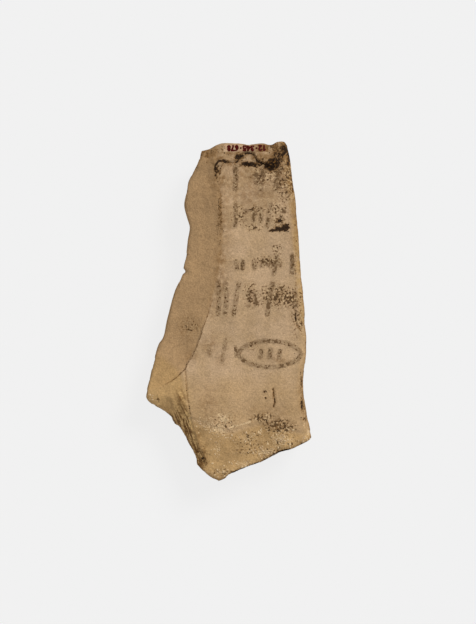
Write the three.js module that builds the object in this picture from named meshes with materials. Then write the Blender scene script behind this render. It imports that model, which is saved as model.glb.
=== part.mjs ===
import * as THREE from 'three';

// A written flake of limestone, lying on its back with the written face up. Millimetres.
// +X runs to the right of the written face, +Y to its head and +Z out of it. The origin is on
// the plane that the flake lies on, under the middle of its length and width.
//
// The flake is one struck piece of stone. Its plan is a patch between four broken sides. Its
// written face is a level bed, and each scar is a line drawn on that face and a profile that
// falls away from the line. The back is a level bed too, with facets that rise to the rim. Where
// blows took smaller flakes off, the rim and the back's facets have scoops that meet in ridges.

// The flake as a whole
const LENGTH = 141;
const WIDTH = 69;
const FACE_HEIGHT = 20;
const LEAST_EDGE = 2.6;

// The mesh of each sheet: rows run across the flake, columns along it
const ROWS = 70;
const COLUMNS = 32;
const RIM_COURSES = 6;
const LINE_STEPS = 90;
const OUTLINE_STEPS = 110;

// Small chips between the scoops of the rim and of the back
const CHIP = 6;
const CHIP_DEPTH = 0.9;

// The broken rim: it is widest part way up, and draws in to the face and to the back. Its scoops
// reach out past that form by the level share of their depth, but never to the outline.
const FACE_INSET = 0.6;
const LEAST_RIM_INSET = 0.15;
const widestRimShare = 0.54;
const RIM_ROUGHNESS = 0.45;
const RIM_WAVE = 13;
const RIM_SCOOP = 13;
const RIM_SCOOP_DEPTH = 3.2;
const rimScoopLevelShare = 0.4;

// The back: a level bed that the flake lies on, and the way its facets bend up from it. The scoops
// start where the facets have left the bed.
const BACK_INSET = 3.6;
const BACK_RAGGEDNESS = 2.2;
const BACK_WAVE = 26;
const BACK_EASE = 3;
const backUnevennessShare = 0.16;
const BACK_SCOOP = 15;
const BACK_SCOOP_DEPTH = 2.4;
const BACK_SCOOP_EASE = 1.2;

// The long scar that takes the left of the written face
const SCAR_DEPTH = 9;
const SCAR_REACH = 14;
const SCAR_EASE = 2.2;
const SCAR_STEP = 0.8;
const SCAR_STEP_WIDTH = 0.7;
const scarHeadShare = 0.7;
const scarStepTopShare = 0.44;
const scarStepEaseShare = 0.05;

// The facet below the scar, which leans to the left from the lower arris
const FACET_EASE = 0.8;
const facetSlope = 0.2;

// The break at the lower left, which falls away from its arris and splits off in a steep step. It
// runs out towards the left corner and towards the scar.
const BREAK_EASE = 0.6;
const breakSlope = 0.62;
const breakCornerShare = 0.15;
const breakCornerStartShare = 0.07;
const breakCornerEaseShare = 0.12;
const breakHeadShare = 0.4;
const breakHeadStartShare = 0.2;
const breakHeadEaseShare = 0.07;
const SPLIT_DEPTH = 3.4;
const SPLIT_WIDTH = 2.8;
const splitTopShare = 0.205;
const splitEaseShare = 0.055;

// The ledge at the head: the bed that is left above a ragged step, leaning back to the rim
const LEDGE_RISE = 1.1;
const LEDGE_RISE_WIDTH = 0.5;
const LEDGE_EASE = 2;
const ledgeSlope = 0.2;
const ledgeStartShare = 0.37;
const ledgeStartEaseShare = 0.07;

// The shallow spall at the toe
const SPALL_STEP = 0.3;
const SPALL_STEP_WIDTH = 1.5;
const SPALL_EASE = 4;
const spallSlope = 0.13;

// The bevel down the right side, and the crumbled break that cuts it near the heel
const BEVEL_WIDTH = 3.1;
const BEVEL_DEPTH = 1.1;
const CRUMBLE_WIDTH = 2.6;
const CRUMBLE_DEPTH = 1.5;
const crumbleTopShare = 0.34;
const crumbleEaseShare = 0.03;

// The slow and the quick waves of the written face
const FACE_UNEVENNESS = 0.36;
const FACE_WAVE = 38;
const GRAIN_UNEVENNESS = 0.07;
const GRAIN_WAVE = 11;

// Outlines and lines are points in shares: across the width from the left corner, and along the
// length from the toe. The left side goes up from the toe, round the notch and the left corner.
const leftSideShares = [
  [0.444, 0], [0.393, 0.012], [0.344, 0.031], [0.302, 0.053], [0.296, 0.074], [0.266, 0.1],
  [0.224, 0.14], [0.193, 0.162], [0.172, 0.168], [0.145, 0.189], [0.115, 0.202], [0.06, 0.22],
  [0.015, 0.233], [0.001, 0.243], [0.001, 0.262], [0.021, 0.301], [0.045, 0.354], [0.076, 0.405],
  [0.1, 0.422], [0.124, 0.473], [0.151, 0.526], [0.178, 0.567], [0.205, 0.594], [0.218, 0.609],
  [0.233, 0.616], [0.224, 0.629], [0.239, 0.662], [0.251, 0.709], [0.263, 0.748], [0.248, 0.774],
  [0.23, 0.812], [0.242, 0.85], [0.254, 0.882], [0.284, 0.91], [0.314, 0.939], [0.335, 0.975],
];
const rightSideShares = [
  [1, 0.13], [0.991, 0.154], [0.97, 0.207], [0.955, 0.252], [0.952, 0.295], [0.961, 0.349],
  [0.967, 0.384], [0.967, 0.434], [0.961, 0.458], [0.961, 0.5], [0.949, 0.555], [0.934, 0.626],
  [0.924, 0.7], [0.912, 0.768], [0.903, 0.827], [0.885, 0.883], [0.87, 0.945], [0.849, 0.987],
];
const toeSideShares = [
  [0.444, 0], [0.489, 0.01], [0.508, 0.019], [0.568, 0.032], [0.628, 0.044], [0.701, 0.058],
  [0.749, 0.071], [0.804, 0.084], [0.882, 0.095], [0.93, 0.106], [0.985, 0.121], [1, 0.13],
];
const headSideShares = [
  [0.335, 0.975], [0.387, 0.981], [0.441, 0.994], [0.538, 0.996], [0.63, 0.993], [0.701, 0.996],
  [0.749, 0.993], [0.79, 1], [0.83, 1], [0.849, 0.987],
];

// Lines of the written face. What each one lowers is on the left hand of the way it is drawn.
const scarArrisShares = [
  [-0.08, 0.245], [0, 0.263], [0.097, 0.282], [0.163, 0.298], [0.224, 0.322], [0.266, 0.352],
  [0.302, 0.384], [0.326, 0.419], [0.363, 0.467], [0.399, 0.526], [0.435, 0.591], [0.459, 0.656],
  [0.471, 0.724], [0.468, 0.798], [0.453, 0.871], [0.435, 0.936], [0.441, 0.994], [0.45, 1.05],
];
const facetArrisShares = [
  [0.38, -0.06], [0.353, 0.03], [0.302, 0.16], [0.255, 0.265], [0.222, 0.32], [0.14, 0.36],
  [0.04, 0.385], [-0.1, 0.41],
];
const breakArrisShares = [
  [0.36, -0.05], [0.352, 0.028], [0.369, 0.059], [0.356, 0.08], [0.326, 0.109], [0.302, 0.148],
  [0.278, 0.192], [0.25, 0.222], [0.215, 0.245], [0.157, 0.26], [0.085, 0.253], [0.02, 0.245],
  [-0.08, 0.23],
];
const splitLineShares = [
  [0.33, -0.04], [0.3, 0.05], [0.265, 0.1], [0.222, 0.16], [0.19, 0.2], [0.166, 0.238],
  [0.145, 0.262], [0.11, 0.29],
];
const ledgeLineShares = [
  [0.2, 0.95], [0.3, 0.948], [0.37, 0.938], [0.42, 0.928], [0.453, 0.927], [0.48, 0.937],
  [0.515, 0.938], [0.544, 0.941], [0.574, 0.96], [0.61, 0.966], [0.647, 0.962], [0.671, 0.944],
  [0.713, 0.934], [0.755, 0.92], [0.785, 0.936], [0.81, 0.955], [0.852, 0.978], [0.96, 1.04],
];
const spallLineShares = [
  [1.06, 0.15], [0.9, 0.158], [0.79, 0.172], [0.68, 0.182], [0.58, 0.168], [0.505, 0.158],
  [0.42, 0.17], [0.33, 0.187], [0.24, 0.2],
];

// Facets of the back, seen from above. Each one rises on the left hand of its line.
const backFacets = [
  {
    slope: 0.46,
    shares: [[0.52, -0.06], [0.44, 0.08], [0.37, 0.24], [0.3, 0.4], [0.25, 0.54], [0.16, 0.66]],
  },
  {
    slope: 0.42,
    shares: [[0.06, 0.38], [0.24, 0.48], [0.38, 0.6], [0.47, 0.74], [0.53, 0.9], [0.52, 1.06]],
  },
  { slope: 0.5, shares: [[0.1, 0.93], [0.36, 0.88], [0.6, 0.86], [0.8, 0.88], [1.05, 0.94]] },
  { slope: 0.6, shares: [[0.68, 1.06], [0.71, 0.86], [0.79, 0.68], [0.86, 0.54], [1.02, 0.36]] },
  { slope: 0.66, shares: [[0.94, 0.72], [0.83, 0.56], [0.77, 0.42], [0.78, 0.24], [0.84, 0]] },
  { slope: 0.42, shares: [[1.1, 0.25], [0.84, 0.21], [0.6, 0.15], [0.42, 0.11], [0.2, 0.13]] },
  { slope: 0.5, shares: [[0.34, -0.02], [0.27, 0.14], [0.17, 0.25], [0.07, 0.3], [-0.1, 0.32]] },
];

function placeOf([acrossShare, alongShare]) {
  return new THREE.Vector3((acrossShare - 0.5) * WIDTH, (alongShare - 0.5) * LENGTH, 0);
}

function curveThrough(shares) {
  const curve = new THREE.CatmullRomCurve3(shares.map(placeOf), false, 'centripetal');
  curve.arcLengthDivisions = 4 * OUTLINE_STEPS;
  return curve;
}

const leftSide = curveThrough(leftSideShares);
const rightSide = curveThrough(rightSideShares);
const toeSide = curveThrough(toeSideShares);
const headSide = curveThrough(headSideShares);

// Plan of the flake

function between(start, end, share) {
  return start.clone().lerp(end, share);
}

// The point of the plan at a share along and a share across, as a patch between the four sides
function patchPoint(along, across) {
  const sides = between(leftSide.getPointAt(along), rightSide.getPointAt(along), across);
  const ends = between(toeSide.getPointAt(across), headSide.getPointAt(across), along);
  const toeCorners = between(toeSide.getPointAt(0), toeSide.getPointAt(1), across);
  const headCorners = between(headSide.getPointAt(0), headSide.getPointAt(1), across);
  return sides.add(ends).sub(between(toeCorners, headCorners, along));
}

// The same plan drawn in from the outline on every side
function planPoint(alongShare, acrossShare, inset) {
  const alongInset = inset / LENGTH;
  const acrossInset = inset / WIDTH;
  const along = alongInset + alongShare * (1 - 2 * alongInset);
  const across = acrossInset + acrossShare * (1 - 2 * acrossInset);
  return patchPoint(along, across);
}

// Distances to lines

function nearestOn(points, x, y) {
  const nearest = { distance: Infinity, side: 1, x: x, y: y };
  for (let i = 1; i < points.length; i++) {
    const start = points[i - 1];
    const runX = points[i].x - start.x;
    const runY = points[i].y - start.y;
    const toX = x - start.x;
    const toY = y - start.y;
    const share = THREE.MathUtils.clamp((toX * runX + toY * runY) / (runX * runX + runY * runY), 0, 1);
    const distance = Math.hypot(toX - share * runX, toY - share * runY);
    if (distance < nearest.distance) {
      nearest.distance = distance;
      nearest.side = Math.sign(runX * toY - runY * toX) || 1;
      nearest.x = start.x + share * runX;
      nearest.y = start.y + share * runY;
    }
  }
  return nearest;
}

// Profiles

function eased(distance, ease) {
  return distance <= 0 ? 0 : (distance * distance) / (distance + ease);
}

function stepAcross(distance, width) {
  return THREE.MathUtils.smoothstep(distance, 0, width);
}

function alongShareOf(y) {
  return y / LENGTH + 0.5;
}

function acrossShareOf(x) {
  return x / WIDTH + 0.5;
}

// Waves about nothing, from one below to one above, that run in no one direction
function waves(x, y, wavelength) {
  const turn = (2 * Math.PI) / wavelength;
  const first = Math.sin(turn * (0.34 * x + 0.94 * y) + 1.3);
  const second = Math.sin(turn * (1.05 * x - 0.48 * y) + 4.1 + 1.4 * first);
  const third = Math.sin(turn * (0.71 * y + 1.36 * x) + 2.2 + 1.7 * second);
  const fourth = Math.sin(turn * (1.83 * y - 0.66 * x) + 0.4 + 1.2 * third);
  return (first + second + 0.6 * third + 0.5 * fourth) / 3.1;
}

// Scoops: space is parted in cells, and each cell has the middle of one scoop at a random place

const cellSteps = [];
for (let x = -1; x <= 1; x++) {
  for (let y = -1; y <= 1; y++) {
    for (let z = -1; z <= 1; z++) {
      cellSteps.push(new THREE.Vector3(x, y, z));
    }
  }
}

// A fixed random value from nought to one
function cellValue(cell, kind) {
  const scrambled = 43758.5453 * Math.sin(12.9898 * cell.x + 78.233 * cell.y + 37.719 * cell.z + kind);
  return scrambled - Math.floor(scrambled);
}

// Shallow scoops that meet in ridges, as struck stone has: up to one in the middle of a scoop
function scoops(x, y, z, size) {
  const position = new THREE.Vector3(x, y, z).divideScalar(size);
  let nearest = Infinity;
  let deepness = 0;
  for (const step of cellSteps) {
    const cell = position.clone().floor().add(step);
    const place = new THREE.Vector3(cellValue(cell, 1), cellValue(cell, 2), cellValue(cell, 3));
    const reach = place.add(cell).distanceToSquared(position);
    if (reach < nearest) {
      nearest = reach;
      deepness = THREE.MathUtils.lerp(0.3, 1, cellValue(cell, 4));
    }
  }
  return deepness * Math.max(1 - nearest, 0);
}

// Written face

function scarDrop(distance, x, y) {
  const along = alongShareOf(y);
  const headFall = THREE.MathUtils.lerp(1, scarHeadShare, THREE.MathUtils.smoothstep(along, 0.6, 1));
  const fall = SCAR_DEPTH * headFall * (1 - Math.exp(-eased(distance, SCAR_EASE) / SCAR_REACH));
  const stepHeight = SCAR_STEP * (1 - stepAcross(along - scarStepTopShare, scarStepEaseShare));
  return fall + stepHeight * stepAcross(distance, SCAR_STEP_WIDTH);
}

function facetDrop(distance) {
  return facetSlope * eased(distance, FACET_EASE);
}

function breakDrop(distance, x, y) {
  const corner = stepAcross(acrossShareOf(x) - breakCornerStartShare, breakCornerEaseShare);
  const head = stepAcross(alongShareOf(y) - breakHeadStartShare, breakHeadEaseShare);
  const slope = breakSlope * THREE.MathUtils.lerp(breakCornerShare, 1, corner);
  return slope * THREE.MathUtils.lerp(1, breakHeadShare, head) * eased(distance, BREAK_EASE);
}

function splitDrop(distance, x, y) {
  const depth = SPLIT_DEPTH * (1 - stepAcross(alongShareOf(y) - splitTopShare, splitEaseShare));
  return depth * stepAcross(distance, SPLIT_WIDTH);
}

function ledgeDrop(distance, x) {
  const rise = LEDGE_RISE * stepAcross(acrossShareOf(x) - ledgeStartShare, ledgeStartEaseShare);
  return ledgeSlope * eased(distance, LEDGE_EASE) - rise * stepAcross(distance, LEDGE_RISE_WIDTH);
}

function spallDrop(distance) {
  return SPALL_STEP * stepAcross(distance, SPALL_STEP_WIDTH) + spallSlope * eased(distance, SPALL_EASE);
}

const scars = [
  { shares: ledgeLineShares, drop: ledgeDrop, crisp: true },
  { shares: scarArrisShares, drop: scarDrop, crisp: true },
  { shares: breakArrisShares, drop: breakDrop, crisp: true },
  { shares: splitLineShares, drop: splitDrop, crisp: true },
  { shares: facetArrisShares, drop: facetDrop, crisp: false },
  { shares: spallLineShares, drop: spallDrop, crisp: false },
];
for (const cut of [...scars, ...backFacets]) {
  cut.line = curveThrough(cut.shares).getSpacedPoints(LINE_STEPS);
}

const rightSidePoints = rightSide.getSpacedPoints(OUTLINE_STEPS);

function bevelDrop(x, y) {
  const distance = nearestOn(rightSidePoints, x, y).distance;
  const crumbled = 1 - stepAcross(alongShareOf(y) - crumbleTopShare, crumbleEaseShare);
  const bevel = BEVEL_DEPTH * (1 - stepAcross(distance, BEVEL_WIDTH));
  return bevel + CRUMBLE_DEPTH * crumbled * (1 - stepAcross(distance, CRUMBLE_WIDTH));
}

function faceHeight(x, y) {
  let height = FACE_HEIGHT + FACE_UNEVENNESS * waves(x, y, FACE_WAVE);
  height += GRAIN_UNEVENNESS * waves(y, x, GRAIN_WAVE);
  for (const scar of scars) {
    const nearest = nearestOn(scar.line, x, y);
    height -= scar.drop(nearest.distance * nearest.side, x, y);
  }
  return Math.max(height - bevelDrop(x, y), backHeight(x, y) + LEAST_EDGE);
}

// Back

function backHeight(x, y) {
  let rise = 0;
  for (const facet of backFacets) {
    const nearest = nearestOn(facet.line, x, y);
    rise = Math.max(rise, facet.slope * eased(nearest.distance * nearest.side, BACK_EASE));
  }
  const scoop = BACK_SCOOP_DEPTH * scoops(x, y, 0, BACK_SCOOP) + CHIP_DEPTH * scoops(x, y, 0, CHIP);
  const uneven = rise * (1 + backUnevennessShare * waves(x, y, BACK_WAVE));
  return uneven + scoop * stepAcross(rise, BACK_SCOOP_EASE);
}

function backPoint(alongShare, acrossShare) {
  const even = planPoint(alongShare, acrossShare, BACK_INSET);
  const inset = BACK_INSET + BACK_RAGGEDNESS * waves(even.x, even.y, BACK_WAVE);
  const point = planPoint(alongShare, acrossShare, inset);
  return point.setZ(backHeight(point.x, point.y));
}

// Rim, from the back up to the written face, at one point of the outline

function rimInset(heightShare) {
  if (heightShare < widestRimShare) {
    return BACK_INSET * (1 - heightShare / widestRimShare) ** 2;
  }
  return FACE_INSET * ((heightShare - widestRimShare) / (1 - widestRimShare)) ** 2;
}

function rimPoint(foot, brow, row, column, heightShare) {
  const height = THREE.MathUtils.lerp(foot.z, brow.z, heightShare);
  const even = planPoint(row / ROWS, column / COLUMNS, rimInset(heightShare));
  const rough = RIM_ROUGHNESS * (1 + waves(even.x + height, even.y - height, RIM_WAVE));
  const scoop = RIM_SCOOP_DEPTH * (scoops(even.x, even.y, height, RIM_SCOOP) - rimScoopLevelShare);
  const chip = CHIP_DEPTH * (scoops(even.x, even.y, height, CHIP) - rimScoopLevelShare);
  const middle = Math.sqrt(Math.sin(Math.PI * heightShare));
  const inset = rimInset(heightShare) + rough + (scoop + chip) * middle;
  return planPoint(row / ROWS, column / COLUMNS, Math.max(inset, LEAST_RIM_INSET)).setZ(height);
}

// Mesh

function gridOf(pointAt) {
  const grid = [];
  for (let row = 0; row <= ROWS; row++) {
    const across = [];
    for (let column = 0; column <= COLUMNS; column++) {
      across.push(pointAt(row / ROWS, column / COLUMNS));
    }
    grid.push(across);
  }
  return grid;
}

// Where an arris crosses the mesh between two neighbours, the nearer one is moved onto it, so
// that the arris runs along the mesh and stays crisp. The rim stays where it is.
function settleOnto(line, grid, settled) {
  function onRim(row, column) {
    return row === 0 || row === ROWS || column === 0 || column === COLUMNS;
  }

  function settleBetween(rowA, columnA, rowB, columnB) {
    const a = grid[rowA][columnA];
    const b = grid[rowB][columnB];
    const nearestA = nearestOn(line, a.x, a.y);
    const nearestB = nearestOn(line, b.x, b.y);
    const gap = nearestA.distance + nearestB.distance;
    if (nearestA.side === nearestB.side || gap > a.distanceTo(b) || gap === 0) {
      return;
    }
    const movesA = nearestA.distance < nearestB.distance;
    const [row, column] = movesA ? [rowA, columnA] : [rowB, columnB];
    if (!onRim(row, column) && !settled.has(grid[row][column])) {
      grid[row][column] = between(a, b, nearestA.distance / gap);
      settled.add(grid[row][column]);
    }
  }

  for (let row = 1; row < ROWS; row++) {
    for (let column = 1; column <= COLUMNS; column++) {
      settleBetween(row, column - 1, row, column);
    }
  }
  for (let column = 1; column < COLUMNS; column++) {
    for (let row = 1; row <= ROWS; row++) {
      settleBetween(row - 1, column, row, column);
    }
  }
}

function faceGrid() {
  const grid = gridOf((alongShare, acrossShare) => planPoint(alongShare, acrossShare, FACE_INSET));
  const settled = new Set();
  for (const scar of scars.filter((cut) => cut.crisp)) {
    settleOnto(scar.line, grid, settled);
  }
  for (const point of grid.flat()) {
    point.z = faceHeight(point.x, point.y);
  }
  return grid;
}

function buildFlake() {
  const vertices = [];
  const triangles = [];
  const rowLength = COLUMNS + 1;
  const sheetSize = (ROWS + 1) * rowLength;

  vertices.push(...faceGrid().flat(), ...gridOf(backPoint).flat());

  // Each square of a sheet is split along the diagonal that lies closer to the stone
  function addSheet(first, heightAt, facesUp) {
    for (let row = 0; row < ROWS; row++) {
      for (let column = 0; column < COLUMNS; column++) {
        const a = first + row * rowLength + column;
        const b = a + 1;
        const c = b + rowLength;
        const d = a + rowLength;
        const middle = between(vertices[a], vertices[c], 0.5);
        const other = between(vertices[b], vertices[d], 0.5);
        const alongMain = Math.abs(middle.z - heightAt(middle.x, middle.y));
        const alongOther = Math.abs(other.z - heightAt(other.x, other.y));
        const halves = alongMain <= alongOther ? [[a, b, c], [a, c, d]] : [[a, b, d], [b, c, d]];
        for (const half of halves) {
          triangles.push(...(facesUp ? half : half.reverse()));
        }
      }
    }
  }
  addSheet(0, faceHeight, true);
  addSheet(sheetSize, backHeight, false);

  // The way round the edge of a sheet: toe, right side, head, left side
  const edge = [];
  for (let column = 0; column < COLUMNS; column++) edge.push([0, column]);
  for (let row = 0; row < ROWS; row++) edge.push([row, COLUMNS]);
  for (let column = COLUMNS; column > 0; column--) edge.push([ROWS, column]);
  for (let row = ROWS; row > 0; row--) edge.push([row, 0]);

  const rings = [edge.map(([row, column]) => sheetSize + row * rowLength + column)];
  for (let course = 1; course < RIM_COURSES; course++) {
    const ring = [];
    edge.forEach(([row, column], place) => {
      const foot = vertices[rings[0][place]];
      const brow = vertices[row * rowLength + column];
      ring.push(vertices.length);
      vertices.push(rimPoint(foot, brow, row, column, course / RIM_COURSES));
    });
    rings.push(ring);
  }
  rings.push(edge.map(([row, column]) => row * rowLength + column));
  for (let ring = 1; ring < rings.length; ring++) {
    for (let place = 0; place < edge.length; place++) {
      const next = (place + 1) % edge.length;
      const lower = rings[ring - 1];
      const upper = rings[ring];
      triangles.push(lower[place], lower[next], upper[next]);
      triangles.push(lower[place], upper[next], upper[place]);
    }
  }

  const geometry = new THREE.BufferGeometry().setFromPoints(vertices);
  geometry.setIndex(triangles);
  geometry.computeVertexNormals();
  return geometry;
}

const limestone = new THREE.MeshStandardMaterial({ color: '#b59877', roughness: 0.93, metalness: 0 });

const flake = new THREE.Mesh(buildFlake(), limestone);
flake.name = 'limestone_flake';

const ostracon = new THREE.Group();
ostracon.add(flake);

export default ostracon;
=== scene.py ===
import math

import bpy
import numpy as np
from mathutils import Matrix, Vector
from mathutils.bvhtree import BVHTree


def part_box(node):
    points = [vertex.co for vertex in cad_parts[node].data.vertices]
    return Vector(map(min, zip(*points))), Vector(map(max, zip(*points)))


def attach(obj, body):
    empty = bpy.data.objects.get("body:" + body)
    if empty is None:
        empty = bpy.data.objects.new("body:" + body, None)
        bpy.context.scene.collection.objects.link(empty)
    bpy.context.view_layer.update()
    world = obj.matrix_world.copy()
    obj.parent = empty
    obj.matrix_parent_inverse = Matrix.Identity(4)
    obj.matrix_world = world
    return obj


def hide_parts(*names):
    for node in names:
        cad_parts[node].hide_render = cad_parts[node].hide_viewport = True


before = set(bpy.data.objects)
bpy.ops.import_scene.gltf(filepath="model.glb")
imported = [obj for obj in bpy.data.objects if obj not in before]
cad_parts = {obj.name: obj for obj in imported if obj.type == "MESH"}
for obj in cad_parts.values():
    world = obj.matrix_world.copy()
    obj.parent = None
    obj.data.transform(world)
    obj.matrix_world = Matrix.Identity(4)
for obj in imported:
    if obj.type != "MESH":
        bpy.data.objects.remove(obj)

bl_info = {
    "name": "Ostracon",
    "version": (1, 0, 0),
    "blender": (4, 5, 0),
    "location": "View3D > Sidebar > Ostracon",
    "description": "Dresses the solid model of a written limestone flake",
    "category": "Add Mesh",
}

# The flake's sizes are worked out in millimetres and made metres when a mesh is made
MM = 0.001
NODE = "limestone_flake"
BODY = "root"
LOW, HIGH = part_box(NODE)
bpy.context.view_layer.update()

# The solid's broken rim lies this far inside the outline at its ends and at its sides
END_LOSS = 0.39
SIDE_LOSS = 0.38
OUTLINE_LENGTH = (HIGH[1] - LOW[1]) + 2 * END_LOSS * MM
OUTLINE_WIDTH = (HIGH[0] - LOW[0]) + 2 * SIDE_LOSS * MM

# The stone's mesh: the back has half as many rows and columns as the written face
ROWS = 344
COLUMNS = 168
RIM_COURSES = 22
LINE_STEPS = 90
LEAST_EDGE = 2.6

# Films of ink and paint end this far from the outline, in millimetres
FILM_MARGIN = 1.05

# The solid model's sizes, in millimetres
FACE_INSET = 0.6
CHIP = 6
CHIP_DEPTH = 0.9
LEAST_RIM_INSET = 0.25
WIDEST_RIM_SHARE = 0.54
RIM_ROUGHNESS = 0.45
RIM_WAVE = 13
RIM_SCOOP = 13
RIM_SCOOP_DEPTH = 3.2
RIM_SCOOP_LEVEL_SHARE = 0.4
BACK_INSET = 3.6
BACK_RAGGEDNESS = 2.2
BACK_WAVE = 26
BACK_EASE = 3
BACK_UNEVENNESS_SHARE = 0.16
BACK_SCOOP = 15
BACK_SCOOP_DEPTH = 2.4
BACK_SCOOP_EASE = 1.2
FACE_UNEVENNESS = 0.36
FACE_WAVE = 38
FINE_UNEVENNESS = 0.07
FINE_WAVE = 11

# Profiles of the written face: slopes, depths of steps, and widths they are eased over
HEAD_FALL = 0.3
SCAR_EASE = 2.2
SCAR_REACH = 14
SCAR_STEP = 0.8
SCAR_STEP_WIDTH = 0.7
FACET_SLOPE = 0.2
FACET_EASE = 0.8
BREAK_SLOPE = 0.62
BREAK_EASE = 0.6
SPLIT_DEPTH = 3.4
SPLIT_WIDTH = 2.8
LEDGE_SLOPE = 0.2
LEDGE_EASE = 2
LEDGE_STEP = 0.75
LEDGE_STEP_WIDTH = 0.35
LIP_STEP = 0.4
LIP_STEP_WIDTH = 0.3
SPALL_STEP = 0.3
SPALL_STEP_WIDTH = 1.5
SPALL_SLOPE = 0.13
SPALL_EASE = 4
BEVEL_DEPTH = 1.1
BEVEL_WIDTH = 3.1
CRUMBLE_DEPTH = 1.5
CRUMBLE_WIDTH = 2.6

# Where a profile begins or ends, as a share of the length or the width, and how long that takes
HEAD_FALL_SHARES = (0.6, 0.4)
SCAR_STEP_END_SHARES = (0.44, 0.05)
SPLIT_END_SHARES = (0.205, 0.055)
LEDGE_START_SHARES = (0.37, 0.07)
CRUMBLE_END_SHARES = (0.34, 0.03)

# The stage: the floor in millimetres, then the frame at the written face in metres. The frame's
# middle lies beside the flake's. Its height is one per cent less than the drawn outline would give,
# because the broken edges lie a little inside it. Lens and sensor are in millimetres.
FLOOR_HALF = 900
FLOOR_LEVEL = -0.3
FRAME_HEIGHT = 0.2573
FRAME_MIDDLE = (0.00385, -0.00015, 0.02)
LENS = 150
SENSOR = 36
FARTHEST = 20
SUN_SPREAD = math.radians(24)

# Points in shares of the width, from the left corner, and of the length, from the toe
LEFT_SIDE_SHARES = [
    (0.444, 0), (0.393, 0.012), (0.344, 0.031), (0.302, 0.053), (0.296, 0.074), (0.266, 0.1),
    (0.224, 0.14), (0.193, 0.162), (0.172, 0.168), (0.145, 0.189), (0.115, 0.202), (0.06, 0.22),
    (0.015, 0.233), (0.001, 0.243), (0.001, 0.262), (0.021, 0.301), (0.045, 0.354), (0.076, 0.405),
    (0.1, 0.422), (0.124, 0.473), (0.151, 0.526), (0.178, 0.567), (0.205, 0.594), (0.218, 0.609),
    (0.233, 0.616), (0.224, 0.629), (0.239, 0.662), (0.251, 0.709), (0.263, 0.748), (0.248, 0.774),
    (0.23, 0.812), (0.242, 0.85), (0.254, 0.882), (0.284, 0.91), (0.314, 0.939), (0.335, 0.975),
]
RIGHT_SIDE_SHARES = [
    (1, 0.13), (0.991, 0.154), (0.97, 0.207), (0.955, 0.252), (0.952, 0.295), (0.961, 0.349),
    (0.967, 0.384), (0.967, 0.434), (0.961, 0.458), (0.961, 0.5), (0.949, 0.555), (0.934, 0.626),
    (0.924, 0.7), (0.912, 0.768), (0.903, 0.827), (0.885, 0.883), (0.87, 0.945), (0.849, 0.987),
]
TOE_SIDE_SHARES = [
    (0.444, 0), (0.489, 0.01), (0.508, 0.019), (0.568, 0.032), (0.628, 0.044), (0.701, 0.058),
    (0.749, 0.071), (0.804, 0.084), (0.882, 0.095), (0.93, 0.106), (0.985, 0.121), (1, 0.13),
]
HEAD_SIDE_SHARES = [
    (0.335, 0.975), (0.387, 0.981), (0.441, 0.994), (0.538, 0.996), (0.63, 0.993), (0.701, 0.996),
    (0.749, 0.993), (0.79, 1), (0.83, 1), (0.849, 0.987),
]

# Lines of the written face. What each one lowers is on the left hand of the way it is drawn.
FACE_LINE_SHARES = {
    "scar": [
        (-0.08, 0.245), (0, 0.263), (0.097, 0.282), (0.163, 0.298), (0.224, 0.322), (0.266, 0.352),
        (0.302, 0.384), (0.326, 0.419), (0.363, 0.467), (0.399, 0.526), (0.435, 0.591), (0.459, 0.656),
        (0.471, 0.724), (0.468, 0.798), (0.453, 0.871), (0.435, 0.936), (0.441, 0.994), (0.45, 1.05),
    ],
    "facet": [
        (0.38, -0.06), (0.353, 0.03), (0.302, 0.16), (0.255, 0.265), (0.222, 0.32), (0.14, 0.36),
        (0.04, 0.385), (-0.1, 0.41),
    ],
    "break": [
        (0.36, -0.05), (0.352, 0.028), (0.369, 0.059), (0.356, 0.08), (0.326, 0.109), (0.302, 0.148),
        (0.278, 0.192), (0.25, 0.222), (0.215, 0.245), (0.157, 0.26), (0.085, 0.253), (0.02, 0.245),
        (-0.08, 0.23),
    ],
    "split": [
        (0.33, -0.04), (0.3, 0.05), (0.265, 0.1), (0.222, 0.16), (0.19, 0.2), (0.166, 0.238),
        (0.145, 0.262), (0.11, 0.29),
    ],
    "ledge": [
        (0.2, 0.95), (0.3, 0.948), (0.37, 0.938), (0.42, 0.928), (0.453, 0.927), (0.48, 0.937),
        (0.515, 0.938), (0.544, 0.941), (0.574, 0.96), (0.61, 0.966), (0.647, 0.962), (0.671, 0.944),
        (0.713, 0.934), (0.755, 0.92), (0.785, 0.936), (0.81, 0.955), (0.852, 0.978), (0.96, 1.04),
    ],
    "spall": [
        (1.06, 0.15), (0.9, 0.158), (0.79, 0.172), (0.68, 0.182), (0.58, 0.168), (0.505, 0.158),
        (0.42, 0.17), (0.33, 0.187), (0.24, 0.2),
    ],
}

# Facets of the back: slope, and a line that the facet rises from on its left hand
BACK_FACET_SHARES = [
    (0.46, [(0.52, -0.06), (0.44, 0.08), (0.37, 0.24), (0.3, 0.4), (0.25, 0.54), (0.16, 0.66)]),
    (0.42, [(0.06, 0.38), (0.24, 0.48), (0.38, 0.6), (0.47, 0.74), (0.53, 0.9), (0.52, 1.06)]),
    (0.5, [(0.1, 0.93), (0.36, 0.88), (0.6, 0.86), (0.8, 0.88), (1.05, 0.94)]),
    (0.6, [(0.68, 1.06), (0.71, 0.86), (0.79, 0.68), (0.86, 0.54), (1.02, 0.36)]),
    (0.66, [(0.94, 0.72), (0.83, 0.56), (0.77, 0.42), (0.78, 0.24), (0.84, 0)]),
    (0.42, [(1.1, 0.25), (0.84, 0.21), (0.6, 0.15), (0.42, 0.11), (0.2, 0.13)]),
    (0.5, [(0.34, -0.02), (0.27, 0.14), (0.17, 0.25), (0.07, 0.3), (-0.1, 0.32)]),
]

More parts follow.
